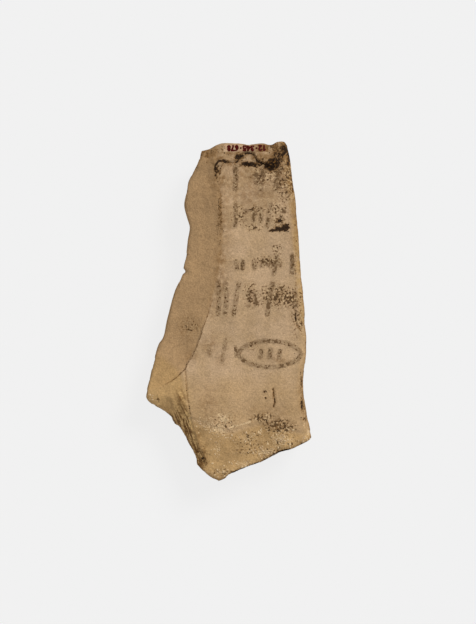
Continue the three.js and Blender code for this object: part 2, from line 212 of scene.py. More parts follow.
# The lower lip of the ledge, a thinner step outside the main one
LIP_SHARES = [
    (0.52, 0.9), (0.57, 0.927), (0.62, 0.929), (0.68, 0.925), (0.705, 0.935), (0.728, 0.93),
    (0.75, 0.916), (0.775, 0.918), (0.797, 0.933), (0.815, 0.955), (0.845, 0.975), (0.95, 1.02),
]

# Cracks: width and depth in millimetres, and a line. Two lie beside the right-hand strip, one below
# the loop, and one is the groove that runs up from the break.
CRACK_SHARES = [
    (0.5, 0.45, [(0.885, 0.512), (0.897, 0.49), (0.909, 0.462), (0.93, 0.444)]),
    (0.35, 0.3, [(0.868, 0.5), (0.882, 0.478), (0.893, 0.465)]),
    (0.75, 0.45, [(0.764, 0.272), (0.77, 0.252), (0.775, 0.24), (0.772, 0.222)]),
    (0.6, 0.27, [(0.24, 0.33), (0.246, 0.3), (0.25, 0.262), (0.26, 0.225), (0.275, 0.2)]),
]

# Patches: where they lie across and along the flake, both radii in millimetres, and strength.
# The first ones are black deposit. Those in the notch at the foot of the ledge's step and along the step are
# darkened further, as painted shade of the step's overhang.
SOOT_AND_SHADE_PATCH_SHARES = [
    (0.756, 0.931, 2.3, 1.8, 2.2), (0.79, 0.955, 2.6, 2.8, 0.85), (0.83, 0.978, 1.9, 1.9, 0.8),
    (0.63, 0.931, 4.6, 1.0, 0.85), (0.565, 0.952, 2.2, 1.4, 0.95), (0.6, 0.963, 1.6, 0.9, 0.8),
    (0.775, 0.985, 3.2, 2.2, 0.42), (0.74, 0.982, 4.0, 1.6, 0.22), (0.86, 0.955, 1.2, 5.0, 0.7),
    (0.82, 0.975, 4.4, 3.0, 0.48), (0.885, 0.862, 1.4, 4.4, 0.32), (0.355, 0.968, 3.4, 2.4, 0.32),
    (0.45, 0.975, 4.0, 1.2, 0.26), (0.7, 0.945, 6.0, 2.0, 0.3), (0.447, 0.79, 1.1, 12.0, 0.34),
    (0.9, 0.62, 0.6, 26.0, 0.22), (0.765, 0.737, 1.4, 0.6, 1.0), (0.8, 0.7415, 1.7, 0.85, 1.3),
    (0.838, 0.746, 1.4, 1.3, 1.9), (0.8, 0.765, 1.6, 1.2, 0.55), (0.938, 0.228, 0.7, 2.6, 0.6),
    (0.956, 0.186, 0.9, 0.8, 0.8), (0.934, 0.295, 0.6, 3.0, 0.5), (0.99, 0.21, 0.5, 2.0, 0.4),
    (0.34, 0.064, 2.2, 3.4, 0.42), (0.318, 0.088, 1.8, 3.0, 0.28), (0.715, 0.266, 0.45, 0.5, 0.9),
    (0.72, 0.248, 0.4, 0.4, 0.8), (0.075, 0.243, 0.7, 0.5, 0.6),
]

# Dark specks that pit the stone and hold old ink
SPECK_PATCH_SHARES = [
    (0.79, 0.545, 7.6, 4.6, 1.0), (0.86, 0.536, 4.4, 3.2, 1.1), (0.915, 0.475, 2.8, 8.0, 0.6),
    (0.88, 0.86, 3.0, 5.0, 0.9), (0.665, 0.796, 3.6, 2.2, 0.8), (0.79, 0.8, 5.0, 3.0, 0.85),
    (0.65, 0.748, 3.6, 2.0, 0.7), (0.63, 0.55, 2.8, 4.6, 1.05), (0.56, 0.78, 4.0, 4.0, 0.6),
    (0.74, 0.9, 8.0, 5.0, 0.75), (0.84, 0.88, 3.4, 9.0, 0.9), (0.73, 0.648, 5.4, 1.8, 0.95),
    (0.79, 0.68, 2.0, 3.4, 0.7), (0.8, 0.775, 3.4, 2.4, 0.8), (0.63, 0.4, 3.0, 2.4, 0.5),
    (0.93, 0.54, 2.0, 3.0, 0.6), (0.87, 0.9, 3.4, 5.0, 1.2), (0.27, 0.455, 5.0, 5.0, 0.42),
    (0.8, 0.162, 6.0, 2.8, 1.4), (0.7, 0.19, 4.6, 2.0, 1.15), (0.83, 0.12, 6.0, 4.0, 0.55),
    (0.62, 0.12, 9.0, 5.0, 0.45), (0.47, 0.17, 7.0, 5.0, 0.5), (0.72, 0.09, 14.0, 1.6, 0.7),
    (0.5, 0.03, 9.0, 1.6, 0.6),
]

# Fresh broken stone beside the break, and the splinter ridges just above it
BREAK_PATCH_SHARES = [
    (0.08, 0.23, 7.0, 4.4, 0.62), (0.21, 0.25, 3.6, 5.0, 0.75), (0.325, 0.135, 1.5, 4.0, 0.4),
    (0.36, 0.09, 1.5, 3.4, 0.4),
]
RIDGE_PATCH_SHARES = [(0.2, 0.262, 4.2, 6.0, 1.0)]

# Brown earth stain in the pores
EARTH_PATCH_SHARES = [
    (0.58, 0.962, 8.0, 1.3, 1.3), (0.75, 0.962, 4.4, 3.0, 1.9), (0.72, 0.985, 8.0, 1.6, 1.0),
    (0.83, 0.905, 5.4, 5.4, 1.1), (0.78, 0.985, 4.0, 3.0, 1.5), (0.875, 0.875, 3.0, 7.4, 1.25),
    (0.82, 0.545, 7.0, 4.0, 0.45), (0.635, 0.55, 2.4, 5.0, 0.35), (0.63, 0.4, 3.0, 2.6, 0.4),
    (0.455, 0.655, 2.6, 4.4, 0.85), (0.44, 0.945, 3.4, 4.4, 1.1), (0.735, 0.645, 5.0, 2.0, 0.6),
    (0.88, 0.535, 4.0, 3.6, 0.7), (0.455, 0.56, 1.8, 4.0, 0.4), (0.8, 0.36, 4.0, 2.0, 0.6),
    (0.28, 0.37, 4.0, 3.0, 0.5), (0.45, 0.36, 3.0, 3.0, 0.4), (0.37, 0.966, 4.0, 3.2, 1.05),
    (0.42, 0.955, 6.0, 4.0, 0.72), (0.65, 0.978, 15.0, 3.2, 0.75), (0.845, 0.965, 5.0, 6.0, 1.5),
    (0.63, 0.9, 15.0, 8.0, 0.66), (0.84, 0.88, 7.0, 11.0, 0.75), (0.66, 0.855, 16.0, 10.0, 0.6),
    (0.48, 0.78, 3.2, 16.0, 0.55), (0.45, 0.89, 4.4, 9.0, 0.75), (0.455, 0.81, 0.9, 11.0, 0.9),
    (0.46, 0.62, 3.4, 9.0, 0.6), (0.26, 0.45, 6.0, 7.0, 0.35), (0.385, 0.4, 4.0, 5.0, 0.5),
    (0.38, 0.23, 4.0, 7.0, 0.5), (0.345, 0.065, 1.8, 3.6, 1.4), (0.33, 0.13, 1.6, 5.0, 0.95),
    (0.362, 0.092, 1.5, 3.4, 1.0), (0.3, 0.13, 2.2, 6.0, 0.55), (0.9, 0.79, 3.0, 14.0, 0.7),
    (0.215, 0.222, 2.8, 6.0, 0.72), (0.955, 0.27, 2.4, 10.0, 1.1), (0.968, 0.195, 2.0, 3.0, 0.8),
    (0.73, 0.2, 9.0, 4.0, 0.5), (0.8, 0.168, 7.0, 3.0, 0.9), (0.772, 0.246, 0.9, 3.6, 0.8),
    (0.9, 0.48, 3.0, 6.0, 0.35), (0.6, 0.1, 12.0, 4.0, 0.25),
]

# Painted light: edges and corners that slope away from the key light are made paler, to lift their shade
PAINTED_LIGHT_PATCH_SHARES = [
    (0.02, 0.31, 2.0, 12.0, 0.45), (0.06, 0.235, 5.0, 3.6, 0.8), (0.13, 0.21, 4.0, 3.6, 0.8),
    (0.38, 0.045, 3.0, 2.6, 0.7), (0.53, 0.035, 3.6, 2.0, 0.6), (0.64, 0.075, 4.0, 3.0, 0.6),
    (0.87, 0.125, 4.0, 3.0, 0.6), (0.96, 0.13, 2.4, 2.4, 0.5), (0.96, 0.36, 2.0, 3.0, 0.5),
]

# Streaks of deposit: half width in millimetres, strength, and a line. The first is the curl at the
# left end of the ledge.
SOOT_STREAK_SHARES = [
    (0.42, 0.62, [(0.419, 0.917), (0.424, 0.93), (0.441, 0.938), (0.462, 0.94), (0.49, 0.937)]),
    (0.3, 0.42, [(0.427, 0.892), (0.42, 0.908), (0.419, 0.92)]),
    (0.28, 0.42, [(0.445, 0.905), (0.45, 0.918), (0.465, 0.929)]),
    (0.3, 0.4, [(0.43, 0.908), (0.434, 0.916), (0.437, 0.925)]),
]

# Lime crust
LIME_PATCH_SHARES = [
    (0.47, 0.185, 2.6, 1.8, 0.8), (0.44, 0.155, 5.0, 4.0, 0.58), (0.37, 0.17, 5.0, 3.0, 0.46),
    (0.69, 0.15, 1.0, 1.4, 1.0), (0.62, 0.13, 3.4, 2.0, 0.55), (0.82, 0.125, 4.4, 3.4, 0.72),
    (0.978, 0.148, 0.6, 0.9, 1.1), (0.955, 0.126, 2.6, 2.4, 0.5), (0.95, 0.17, 0.5, 1.0, 0.8),
    (0.58, 0.055, 4.6, 2.0, 0.62), (0.47, 0.03, 3.6, 1.4, 0.62), (0.72, 0.09, 6.0, 2.0, 0.62),
    (0.43, 0.1, 2.0, 5.0, 0.5), (0.03, 0.245, 2.4, 1.8, 0.4),
]

# Streaks of lime: half width in millimetres, strength, and a line
LIME_STREAK_SHARES = [
    (0.24, 1.1, [(0.502, 0.158), (0.53, 0.165), (0.56, 0.167), (0.59, 0.172), (0.63, 0.178)]),
    (0.3, 0.75, [(0.44, 0.2), (0.47, 0.196), (0.495, 0.18)]),
    (0.24, 0.95, [(0.68, 0.146), (0.694, 0.157)]),
    (0.2, 0.6, [(0.72, 0.178), (0.75, 0.19)]),
]

# Plain brush marks, in shares of a row's height. They are tallies and dabs, not writing.
MARK_SHARES = {
    "upright": [[(0.02, 0.02), (0.06, 0.5), (0.03, 1)]],
    "leaning": [[(0, 0.02), (0.07, 0.5), (0.16, 0.98)]],
    "short": [[(0.04, 0.3), (0.02, 0.68)]],
    "pair": [[(0, 0.3), (0.05, 0.8)], [(0.3, 0.22), (0.33, 0.74)]],
    "ripple": [[(0, 0.45), (0.22, 0.68), (0.46, 0.42), (0.7, 0.68), (0.95, 0.48)]],
    "dots": [[(0.06, 0.3), (0.12, 0.32)], [(0.16, 0.7), (0.24, 0.68)]],
}

# Rows of marks: foot, height and pen width in millimetres, strength, then marks and their places
INK_ROW_SHARES = [
    ("ink_row_1", 0.858, 9.0, 2.2, 0.76,
     [("upright", 0.535), ("short", 0.66), ("leaning", 0.69), ("leaning", 0.78)]),
    ("ink_row_2", 0.748, 9.4, 1.8, 0.72,
     [("upright", 0.535), ("dots", 0.58), ("pair", 0.65), ("leaning", 0.73), ("dots", 0.8)]),
    ("ink_row_3", 0.61, 7.6, 1.9, 0.8,
     [("short", 0.545), ("short", 0.58), ("short", 0.65), ("ripple", 0.7), ("leaning", 0.77),
      ("upright", 0.875)]),
    ("ink_row_4", 0.49, 13.4, 2.0, 0.66,
     [("upright", 0.432), ("upright", 0.474), ("leaning", 0.53), ("short", 0.61), ("short", 0.66),
      ("leaning", 0.73), ("short", 0.89)]),
    ("ink_row_5", 0.352, 9.4, 1.7, 0.56, [("short", 0.38), ("leaning", 0.46), ("short", 0.54)]),
]

# The pointed loop at the end of the last row, with a tally of three inside it
LOOP_SHARE = (0.745, 0.376)
LOOP_RADII = (13.0, 5.4)
LOOP_PEN = 1.9
LOOP_TALLY_SHARES = [(-0.3, 0.5), (0, 0.62), (0.3, 0.5)]

# Plain counting figures for the number at the head, in shares of their height
FIGURE_SHARES = {
    "1": [[(0.12, 0.8), (0.3, 1)], [(0.3, 1), (0.3, 0)]],
    "2": [[(0.05, 0.8), (0.27, 1), (0.5, 0.82), (0.4, 0.45), (0.04, 0)], [(0.04, 0), (0.54, 0.02)]],
    "3": [[(0.06, 0.9), (0.3, 1), (0.48, 0.78), (0.24, 0.55)],
          [(0.24, 0.55), (0.52, 0.4), (0.44, 0.08), (0.2, 0), (0.03, 0.12)]],
    "4": [[(0.4, 0), (0.4, 1)], [(0.4, 1), (0.02, 0.32)], [(0.02, 0.32), (0.56, 0.32)]],
    "5": [[(0.5, 1), (0.12, 1)], [(0.12, 1), (0.08, 0.58)],
          [(0.08, 0.58), (0.36, 0.64), (0.52, 0.34), (0.34, 0.02), (0.02, 0.1)]],
    "6": [[(0.46, 0.96), (0.18, 0.74), (0.05, 0.34), (0.26, 0), (0.5, 0.2), (0.38, 0.5), (0.08, 0.38)]],
    "7": [[(0.02, 1), (0.54, 1)], [(0.54, 1), (0.3, 0.5), (0.2, 0)]],
    "8": [[(0.28, 0.54), (0.08, 0.76), (0.28, 1), (0.48, 0.76), (0.28, 0.54)],
          [(0.28, 0.54), (0.04, 0.26), (0.28, 0), (0.52, 0.26), (0.28, 0.54)]],
    ".": [[(0.24, 0.48), (0.28, 0.52)]],
}
FIGURES = "12.345.678"
NUMBER_SHARE = (0.603, 0.978)


def smooth_step(value, width):
    share = np.clip(value / width, 0, 1)
    return share * share * (3 - 2 * share)


def past(value, start, width):
    """A share that goes from 0 at start to 1 a width further."""
    return smooth_step(value - start, width)


def short_of(value, start, width):
    """A share that goes from 1 at start to 0 a width further."""
    return 1 - smooth_step(value - start, width)


def eased(distance, ease):
    positive = np.maximum(distance, 0)
    return positive * positive / (positive + ease)


def waves(x, y, wavelength):
    """Waves about nothing, from one below to one above, the same as in the solid model."""
    turn = 2 * math.pi / wavelength
    first = np.sin(turn * (0.34 * x + 0.94 * y) + 1.3)
    second = np.sin(turn * (1.05 * x - 0.48 * y) + 4.1 + 1.4 * first)
    third = np.sin(turn * (0.71 * y + 1.36 * x) + 2.2 + 1.7 * second)
    fourth = np.sin(turn * (1.83 * y - 0.66 * x) + 0.4 + 1.2 * third)
    return (first + second + 0.6 * third + 0.5 * fourth) / 3.1


def lattice_value(ix, iy, iz, seed):
    """A fixed random value from one below to one above for each point of a lattice."""
    mixed = ix * 374761393 + iy * 668265263 + iz * 1440662683 + seed * 974634777
    mixed = (mixed ^ (mixed >> 13)) * 1274126177
    mixed = mixed ^ (mixed >> 16)
    return (mixed & 0xFFFF) / 32767.5 - 1


def noise(x, y, z, size, seed):
    """Smooth noise about nothing, with lumps of the given size."""
    points = [np.asarray(value, float) / size for value in np.broadcast_arrays(x, y, z)]
    cells = [np.floor(value).astype(np.int64) for value in points]
    shares = [value - cell for value, cell in zip(points, cells)]
    fades = [share * share * (3 - 2 * share) for share in shares]
    total = 0
    for corner in range(8):
        steps = [(corner >> axis) & 1 for axis in range(3)]
        weight = 1
        for fade, step in zip(fades, steps):
            weight = weight * (fade if step else 1 - fade)
        total = total + weight * lattice_value(*(cell + step for cell, step in zip(cells, steps)), seed)
    return total


def fractal(x, y, z, size, octaves, seed):
    total = 0
    for octave in range(octaves):
        total = total + noise(x, y, z, size / 2**octave, seed + octave) / 2**octave
    return total / (2 - 2 / 2**octaves)


def cell_value(x, y, z, kind):
    """A fixed random value from nought to one for each cell of space, the same as in the solid model."""
    scrambled = 43758.5453 * np.sin(12.9898 * x + 78.233 * y + 37.719 * z + kind)
    return scrambled - np.floor(scrambled)


def scoops(x, y, z, size):
    """Shallow scoops that meet in ridges, as struck stone has: up to one in the middle of a scoop."""
    points = [np.asarray(value, float) / size for value in np.broadcast_arrays(x, y, z)]
    nearest = np.full(points[0].shape, np.inf)
    deepness = np.zeros(points[0].shape)
    for steps in np.ndindex(3, 3, 3):
        cell = [np.floor(value) + step - 1 for value, step in zip(points, steps)]
        middle = [own + cell_value(*cell, kind) for own, kind in zip(cell, (1, 2, 3))]
        reach = sum((value - other) ** 2 for value, other in zip(points, middle))
        closer = reach < nearest
        nearest = np.where(closer, reach, nearest)
        deepness = np.where(closer, 0.3 + 0.7 * cell_value(*cell, 4), deepness)
    return deepness * np.maximum(1 - nearest, 0)


def rim_inset(share):
    """How far the rim lies inside the outline, at a share of the way up from the back to the face."""
    if share < WIDEST_RIM_SHARE:
        return BACK_INSET * (1 - share / WIDEST_RIM_SHARE) ** 2
    return FACE_INSET * ((share - WIDEST_RIM_SHARE) / (1 - WIDEST_RIM_SHARE)) ** 2


def curve_through(points, steps):
    """A centripetal Catmull-Rom curve through points, as evenly spaced points."""
    points = np.asarray(points, float)
    ends = [2 * points[0] - points[1]], [2 * points[-1] - points[-2]]
    knots = np.vstack([ends[0], points, ends[1]])
    share = np.linspace(0, 1, 24, endpoint=False)[:, None]
    pieces = []
    for before, start, end, after in zip(knots, knots[1:], knots[2:], knots[3:]):
        pairs = (before, start), (start, end), (end, after)
        gaps = [max(np.linalg.norm(other - one), 1e-9) ** 0.5 for one, other in pairs]
        first = (start - before) / gaps[0] - (end - before) / (gaps[0] + gaps[1]) + (end - start) / gaps[1]
        last = (end - start) / gaps[1] - (after - start) / (gaps[1] + gaps[2]) + (after - end) / gaps[2]
        first, last = first * gaps[1], last * gaps[1]
        cube = 2 * start - 2 * end + first + last
        square = 3 * end - 3 * start - 2 * first - last
        pieces.append(((cube * share + square) * share + first) * share + start)
    dense = np.vstack(pieces + [points[-1:]])
    travelled = np.concatenate([[0], np.cumsum(np.linalg.norm(np.diff(dense, axis=0), axis=1))])
    even = np.linspace(0, travelled[-1], steps + 1)
    return np.stack([np.interp(even, travelled, dense[:, axis]) for axis in range(2)], axis=1)


def signed_distance(line, x, y):
    """Distance to a line of points, positive on the left hand of the way it is drawn."""
    best = np.full(np.shape(x), np.inf)
    side = np.ones(np.shape(x))
    for (start_x, start_y), (end_x, end_y) in zip(line, line[1:]):
        run_x, run_y = end_x - start_x, end_y - start_y
        to_x, to_y = x - start_x, y - start_y
        share = np.clip((to_x * run_x + to_y * run_y) / (run_x**2 + run_y**2), 0, 1)
        distance = np.hypot(to_x - share * run_x, to_y - share * run_y)
        closer = distance < best
        best = np.where(closer, distance, best)
        side = np.where(closer, np.where(run_x * to_y >= run_y * to_x, 1, -1), side)
    return best * side


class Flake:
    """The flake's form in millimetres, by the same lines and profiles as the solid model."""

    def __init__(self, stone):
        self.length = stone.length / MM
        self.width = stone.width / MM
        self.face_height = stone.face_height / MM
        self.scar_depth = stone.scar_depth / MM
        self.relief = stone.relief
        self.sides = {}
        named = zip(("left", "right", "toe", "head"),
                    (LEFT_SIDE_SHARES, RIGHT_SIDE_SHARES, TOE_SIDE_SHARES, HEAD_SIDE_SHARES))
        for name, shares in named:
            self.sides[name] = self.line(shares, 2 * ROWS)
        self.lines = {name: self.line(shares) for name, shares in FACE_LINE_SHARES.items()}
        self.lip = self.line(LIP_SHARES)
        self.cracks = [(width, depth, self.line(shares, 12)) for width, depth, shares in CRACK_SHARES]
        self.back_facets = [(slope, self.line(shares)) for slope, shares in BACK_FACET_SHARES]

    def place(self, share):
        across, along = np.moveaxis(np.asarray(share, float), -1, 0)
        return np.stack([(across - 0.5) * self.width, (along - 0.5) * self.length], axis=-1)

    def line(self, shares, steps=LINE_STEPS):
        return curve_through(self.place(shares), steps)

    def plan(self, along, across, inset):
        """Points of the plan, as a patch between the four sides, drawn in by inset."""
        along = inset / self.length + along * (1 - 2 * inset / self.length)
        across = inset / self.width + across * (1 - 2 * inset / self.width)

        def on(side, share):
            points = self.sides[side]
            at = share * (len(points) - 1)
            index = np.arange(len(points))
            return np.stack([np.interp(at, index, points[:, axis]) for axis in range(2)], axis=-1)

        a, c = along[..., None], across[..., None]
        toe_left, toe_right = self.sides["toe"][0], self.sides["toe"][-1]
        head_left, head_right = self.sides["head"][0], self.sides["head"][-1]
        sides = on("left", along) * (1 - c) + on("right", along) * c
        ends = on("toe", across) * (1 - a) + on("head", across) * a
        corners = (toe_left * (1 - c) + toe_right * c) * (1 - a) + (head_left * (1 - c) + head_right * c) * a
        return sides + ends - corners

    def inside(self, x, y):
        """Distance from the outline, for a point on the stone."""
        distances = [np.abs(signed_distance(side[::8], x, y)) for side in self.sides.values()]
        return np.min(distances, axis=0)

    def cuts(self, x, y):
        """Signed distances to the lines of the face, each made a little ragged."""
        found = {}
        for seed, (name, line) in enumerate(self.lines.items()):
            ragged = 0.32 * fractal(x, y, 0, 3.4, 3, 40 + seed)
            found[name] = signed_distance(line, x, y) + ragged
        found["lip"] = signed_distance(self.lip, x, y) + 0.3 * fractal(x, y, 0, 2.2, 3, 60)
        found["right"] = np.abs(signed_distance(self.sides["right"][::8], x, y))
        others = [np.abs(signed_distance(self.sides[side][::8], x, y)) for side in ("left", "toe", "head")]
        found["toe"] = others[1]
        found["edge"] = np.minimum(found["right"], np.min(others, axis=0))
        wander = 0.35 * fractal(x, y, 0, 1.3, 2, 64)
        found["crack"] = 0
        for width, depth, line in self.cracks:
            away = np.abs(signed_distance(line, x, y) + wander)
            found["crack"] = np.maximum(found["crack"], depth * (1 - smooth_step(away, width)))
        return found

    def face(self, x, y, cut):
        """Height of the written face."""
        along, across = y / self.length + 0.5, x / self.width + 0.5
        head_fall = 1 - HEAD_FALL * past(along, *HEAD_FALL_SHARES)
        hollow = 1 - np.exp(-eased(cut["scar"], SCAR_EASE) / SCAR_REACH)
        step = SCAR_STEP * short_of(along, *SCAR_STEP_END_SHARES)
        scar = self.scar_depth * head_fall * hollow + step * smooth_step(cut["scar"], SCAR_STEP_WIDTH)
        facet = FACET_SLOPE * eased(cut["facet"], FACET_EASE)
        broken = BREAK_SLOPE * self.break_fade(along, across) * eased(cut["break"], BREAK_EASE)
        split = SPLIT_DEPTH * short_of(along, *SPLIT_END_SHARES) * smooth_step(cut["split"], SPLIT_WIDTH)
        rise = past(across, *LEDGE_START_SHARES)
        ledge = LEDGE_SLOPE * eased(cut["ledge"], LEDGE_EASE)
        ledge = ledge - LEDGE_STEP * rise * smooth_step(cut["ledge"], LEDGE_STEP_WIDTH)
        lip = -LIP_STEP * rise * smooth_step(cut["lip"], LIP_STEP_WIDTH)
        spall = SPALL_STEP * smooth_step(cut["spall"], SPALL_STEP_WIDTH)
        spall = spall + SPALL_SLOPE * eased(cut["spall"], SPALL_EASE)
        crumbled = short_of(along, *CRUMBLE_END_SHARES)
        bevel = BEVEL_DEPTH * short_of(cut["right"], 0, BEVEL_WIDTH)
        bevel = bevel + CRUMBLE_DEPTH * crumbled * short_of(cut["right"], 0, CRUMBLE_WIDTH)
        height = self.face_height + FACE_UNEVENNESS * waves(x, y, FACE_WAVE)
        height = height + FINE_UNEVENNESS * waves(y, x, FINE_WAVE)
        height = height - scar - facet - broken - split - ledge - lip - spall - bevel
        height = height + self.relief * self.fine_relief(x, y, cut, crumbled)
        return np.maximum(height, self.back(x, y) + LEAST_EDGE)

    def break_fade(self, along, across):
        """The break is steep beside the toe, and runs out towards the left corner and the scar."""
        return (0.15 + 0.85 * smooth_step(across - 0.07, 0.12)) * (1 - 0.6 * smooth_step(along - 0.2, 0.07))

    def fine_relief(self, x, y, cut, crumbled):
        """Grain, pits, splinters and cracks of the written face, in millimetres."""
        grain = 0.07 * fractal(x, y, 0, 1.3, 3, 1) + 0.1 * fractal(x, y, 0, 7, 3, 5)
        pits = 0.5 * np.maximum(noise(x, y, 0, 1.0, 9) * noise(x, y, 0, 5, 11) - 0.3, 0)
        scarred = smooth_step(cut["scar"], 2)
        ripples = 0.03 * np.sin(2 * math.pi * cut["scar"] / 4.6 + 2.6 * fractal(x, y, 0, 9, 2, 13))
        splinter_across = 0.965 * x + 0.26 * y
        splinter_along = 0.965 * y - 0.26 * x
        splinters = 1 - 2 * np.abs(fractal(splinter_across, splinter_along / 9, 0, 1.5, 2, 17))
        coarse = fractal(splinter_across, splinter_along / 5, 0, 3.2, 2, 21)
        splintered = self.splintered(x, y, cut) * (0.42 * splinters + 0.34 * coarse - 0.42)
        rough = smooth_step(cut["spall"] + 1, 2) * 0.3 * fractal(x, y, 0, 2.4, 4, 25)
        ledge = smooth_step(cut["ledge"], 1) * 0.2 * fractal(x, y, 0, 2.4, 3, 29)
        strip = 1 - smooth_step(cut["right"], 3.6)
        crumbs = strip * (0.2 + 0.8 * crumbled) * 0.8 * np.minimum(fractal(x, y, 0, 1.9, 3, 33), 0)
        worn = 0.35 + 0.9 * np.maximum(fractal(x, y, 0, 2.2, 3, 37), 0)
        chips = 0.9 * np.maximum(scoops(x, y, 0, 5.0) - 0.35, 0) * (1 - smooth_step(cut["edge"] - 0.8, 1.8))
        chipped = (1 - smooth_step(cut["edge"] - 0.3, 1.1)) * worn + chips
        return grain - pits + scarred * ripples + splintered + rough + ledge + crumbs - chipped - cut["crack"]

    def splintered(self, x, y, cut):
        """Where the stone split into splinters: the break, and the ridges just above it."""
        fade = self.break_fade(y / self.length + 0.5, x / self.width + 0.5)
        broken = smooth_step(cut["break"], 1.2) * fade
        above = patches(self, RIDGE_PATCH_SHARES, x, y, 0)
        return np.maximum(broken, 0.4 * above)

    def back(self, x, y):
        rise = 0
        for slope, line in self.back_facets:
            rise = np.maximum(rise, slope * eased(signed_distance(line, x, y), BACK_EASE))
        scoop = BACK_SCOOP_DEPTH * scoops(x, y, 0, BACK_SCOOP) + CHIP_DEPTH * scoops(x, y, 0, CHIP)
        uneven = rise * (1 + BACK_UNEVENNESS_SHARE * waves(x, y, BACK_WAVE))
        return uneven + scoop * smooth_step(rise, BACK_SCOOP_EASE)

    def back_relief(self, x, y):
        """Roughness of the back. It only ever cuts into the stone, which keeps its bed level."""
        off_bed = 0.4 + 0.6 * smooth_step(self.back(x, y), BACK_SCOOP_EASE)
        pits = 0.7 * np.maximum(fractal(x, y, 0, 3.0, 4, 71), 0)
        beds = 0.5 * np.maximum(fractal(x / 5, y / 1.6, 0, 1.6, 2, 75), 0)
        return self.relief * off_bed * (pits + beds)


def grid_shares(rows, columns):
    return np.meshgrid(np.linspace(0, 1, rows + 1), np.linspace(0, 1, columns + 1), indexing="ij")


def edge_of(rows, columns):
    """Rows and columns of the way round a sheet's edge: toe, right side, head, left side."""
    way = [(0, column) for column in range(columns)]
    way += [(row, columns) for row in range(rows)]
    way += [(rows, column) for column in range(columns, 0, -1)]
    way += [(row, 0) for row in range(rows, 0, -1)]
    return np.array(way).T


def sheet_quads(rows, columns, first, faces_up):
    index = first + np.arange((rows + 1) * (columns + 1)).reshape(rows + 1, columns + 1)
    corners = [index[:-1, :-1], index[:-1, 1:], index[1:, 1:], index[1:, :-1]]
    quads = np.stack([corner.ravel() for corner in corners], axis=1)
    return quads if faces_up else quads[:, ::-1]


def patches(flake, shares, x, y, ragged):
    """How much of a film or stain each point has, from patches with ragged edges."""
    total = np.zeros(np.shape(x))
    for across, along, radius_x, radius_y, strength in shares:
        middle = flake.place((across, along))
        reach = ((x - middle[0]) / radius_x) ** 2 + ((y - middle[1]) / radius_y) ** 2
        total = np.maximum(total, strength * np.exp(-reach))
    return np.clip(total * (1 + ragged), 0, 1)


def streaks(flake, shares, x, y, ragged):
    """How much of a deposit each point has, from narrow streaks with ragged sides."""
    total = np.zeros(np.shape(x))
    for half_width, strength, line in shares:
        away = np.abs(signed_distance(flake.line(line, 16), x, y)) - half_width * (1 + ragged)
        total = np.maximum(total, strength * (1 - smooth_step(away, half_width)))
    return total


def pen_field(strokes, pen, x, y):
    """How far each point lies inside the strokes of a pen, in millimetres."""
    inside = np.full(np.shape(x), -4.0)
    for stroke in strokes:
        near = (x > stroke[:, 0].min() - 4) & (x < stroke[:, 0].max() + 4)
        near &= (y > stroke[:, 1].min() - 4) & (y < stroke[:, 1].max() + 4)
        reach = pen / 2 - np.abs(signed_distance(stroke, x[near], y[near]))
        inside[near] = np.maximum(inside[near], reach)
    return inside


def figure_strokes(shares, foot, height, turned=False):
    """A mark's or figure's strokes, set on its foot and drawn with the pen's curve."""
    size = -height if turned else height
    return [curve_through(foot + np.asarray(stroke, float) * size, 14) for stroke in shares]


def ink_rows(flake):
    """Each row of marks: name, strokes, pen width and strength."""
    rows = []
    for name, along, height, pen, strength, marks in INK_ROW_SHARES:
        strokes = []
        for mark, across in marks:
            strokes += figure_strokes(MARK_SHARES[mark], flake.place((across, along)), height)
        rows.append((name, strokes, pen, strength))
    middle = flake.place(LOOP_SHARE)
    turns = np.linspace(0, 2 * math.pi, 49)
    lens = np.abs(np.sin(turns)) ** 1.25 * np.sign(np.sin(turns))
    loop = middle + np.stack([LOOP_RADII[0] * np.cos(turns), LOOP_RADII[1] * lens], axis=1)
    tally = []
    for across, height in LOOP_TALLY_SHARES:
        foot = middle + np.array([across, -height / 2]) * LOOP_RADII
        tally.append(np.stack([foot, foot + np.array([0.03, height]) * LOOP_RADII]))
    rows.append(("ink_loop", [loop] + tally, LOOP_PEN, 0.64))
    return rows


